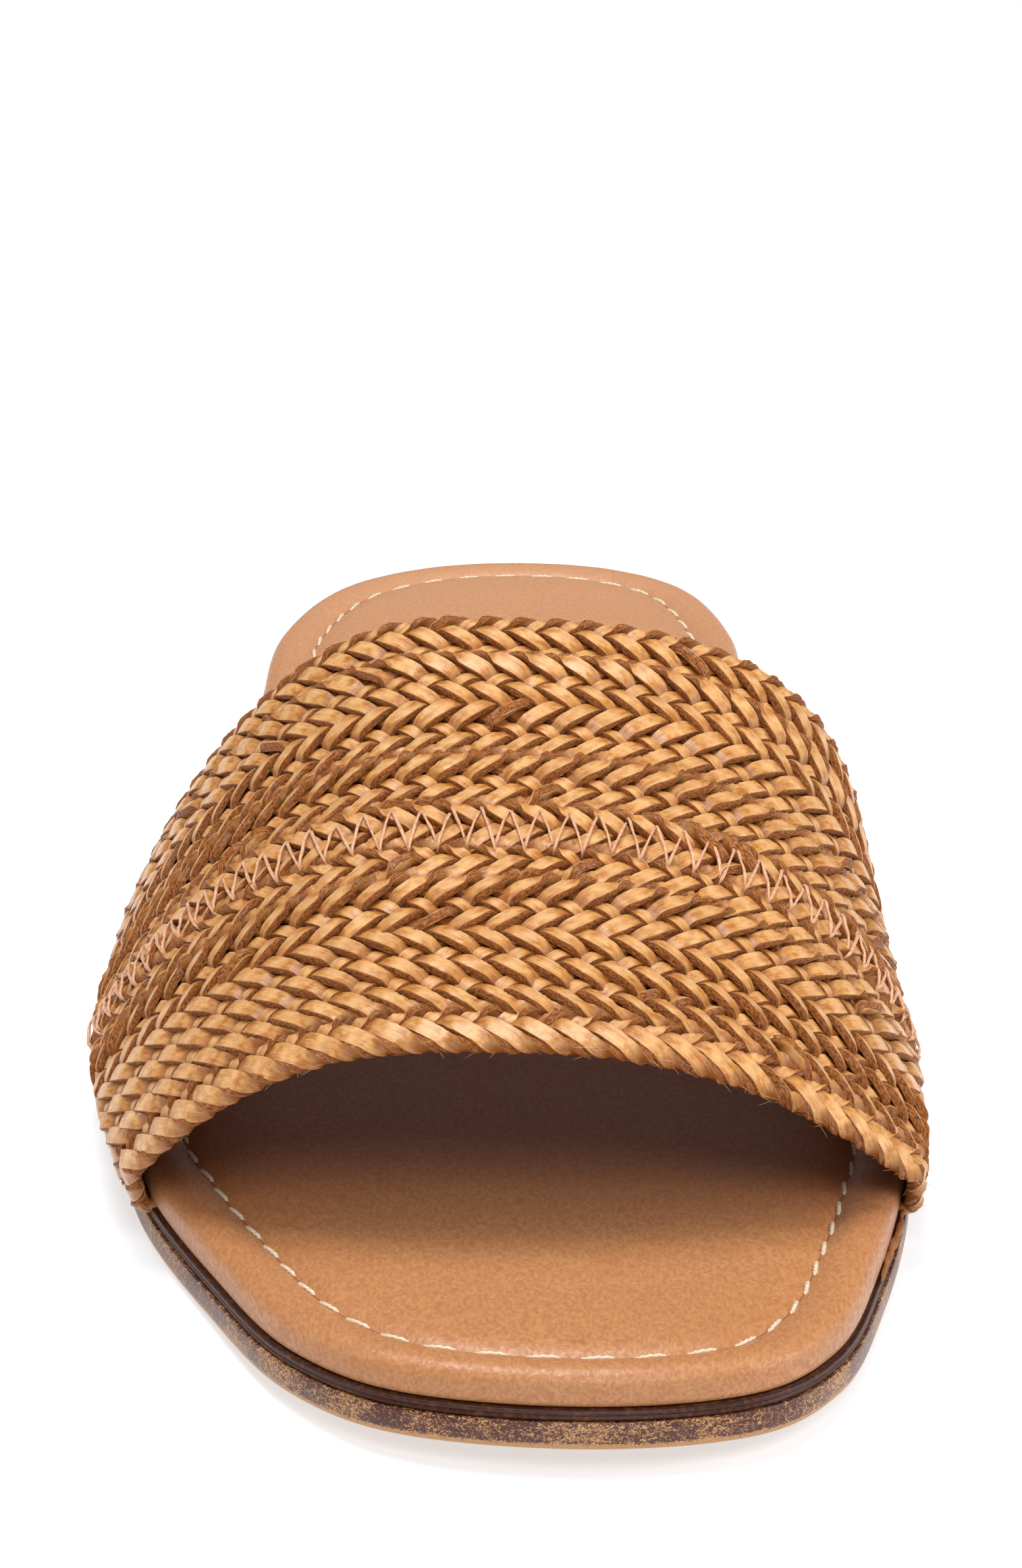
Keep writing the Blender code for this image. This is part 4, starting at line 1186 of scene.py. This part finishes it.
cream_thread = thread_finish("cream_waxed_thread", "#E4D8C2", "#BEA886", 0.45)
tan_thread = thread_finish("pink_tan_thread", "#E0B089", "#BA7F58", 0.4)
fibre_finish = thread_finish("loose_raffia_fibre", "#E2BD90", "#B98A58", 0.6)
# Painted shade: the dark brown of the crease line stands in for the shade in the stitch channel
crease_shade_paint = thread_finish("painted_crease_shade", "#8A4C26", "#6B3517", 0.7)

# %% [markdown]
# ## Assembly
# Each piece rides on the frame's single body and stands for the solid that it replaces.

# %% Rides and replaced solids
def dress(piece, material, slot, *stands_for):
    """Gives a piece its finish, its body and the solid that it stands for; slot is not used."""
    piece.data.materials.clear()
    piece.data.materials.append(material)
    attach(piece, "root")
    if stands_for:
        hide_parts(*stands_for)


dress(outsole, outsole_finish, "outsole_rubber", "outsole")
dress(heel, heel_finish, "outsole_rubber", "heel")
dress(welt, welt_finish, "welt_leather", "welt")
dress(insole, insole_leather, "insole_leather", "insole")
dress(stitches, cream_thread, "insole_leather")
dress(crease, crease_shade_paint, "insole_leather")
for piece in plaits:
    dress(piece, raffia, "plaited_raffia", "upper")
dress(tail, raffia, "plaited_raffia")
dress(lining, lining_leather, "plaited_raffia")
dress(zigzag, tan_thread, "plaited_raffia")
dress(fibres, fibre_finish, "plaited_raffia")

# %% [markdown]
# ## Studio
# The photo is a shop picture: white floor and background, and shadows that only darken the floor
# close to the sole. Five square softboxes light it: one above, one high in front, one at each side
# and a weak one low in front for the edge of the sole. A single dome of light would be simpler, but
# it would wash out the shade under the strap, which needs lamps of a middling size. The camera
# looks down the length of the shoe from the toe, about twenty degrees above the floor.

# %% Floor, light and camera
FLOOR_SIZE = 12.0
FLOOR_GLOW = 0.57
ROOM_COLOUR = (1.0, 0.89, 0.80, 1.0)
ROOM_STRENGTH = 0.22
# Name, place, point it faces, size of its side in metres, power in watts
SOFTBOXES = (
    ("top_softbox", (-0.12, 0.10, 1.0), (0, 0, 0.02), 0.5, 8.7),
    ("front_softbox", (0.20, -1.05, 1.15), (0, -0.05, 0.02), 0.6, 8.7),
    ("side_softbox", (1.1, -0.1, 0.6), (0, 0, 0.02), 0.8, 8.6),
    ("far_side_softbox", (-1.1, -0.1, 0.6), (0, 0, 0.02), 0.8, 3.0),
    ("low_front_softbox", (0.05, -1.2, 0.28), (0, -0.08, 0.02), 0.6, 2.6),
)
CAMERA_PLACE = (0.0011, -0.5618, 0.2358)
CAMERA_DOWN = 20.31
CAMERA_LENS = 110.73

bm = bmesh.new()
bmesh.ops.create_grid(bm, x_segments=1, y_segments=1, size=FLOOR_SIZE / 2)
floor = piece_from(bm, "studio_floor")
floor_paint, floor_tree, floor_shader = new_material("matt_white_floor", Roughness=0.9,
                                                     Specular_IOR_Level=0.1)
# The photo's floor is lit up to pure white, so this one glows a little by itself
floor_shader.inputs["Base Color"].default_value = hex_colour("#B4B8BE")
floor_shader.inputs["Emission Color"].default_value = (1.0, 1.0, 1.0, 1.0)
floor_shader.inputs["Emission Strength"].default_value = FLOOR_GLOW
floor.data.materials.append(floor_paint)

world = bpy.data.worlds.new("studio")
world.use_nodes = True
world.node_tree.nodes["Background"].inputs[0].default_value = ROOM_COLOUR
world.node_tree.nodes["Background"].inputs[1].default_value = ROOM_STRENGTH
bpy.context.scene.world = world


def softbox(name, place, aim, size, power):
    """A square area light that faces a point."""
    data = bpy.data.lights.new(name, "AREA")
    data.shape = "SQUARE"
    data.size = size
    data.energy = power
    light = bpy.data.objects.new(name, data)
    light.location = place
    light.rotation_euler = (Vector(aim) - Vector(place)).to_track_quat("-Z", "Y").to_euler()
    bpy.context.collection.objects.link(light)


for row in SOFTBOXES:
    softbox(*row)

camera_data = bpy.data.cameras.new("camera")
camera_data.lens = CAMERA_LENS
camera_data.sensor_width = 36.0
camera_data.clip_start = 0.02
camera = bpy.data.objects.new("camera", camera_data)
camera.location = CAMERA_PLACE
camera.rotation_euler = (math.radians(90 - CAMERA_DOWN), 0.0, 0.0)
bpy.context.collection.objects.link(camera)
bpy.context.scene.camera = camera
bpy.context.scene.view_settings.view_transform = "Standard"
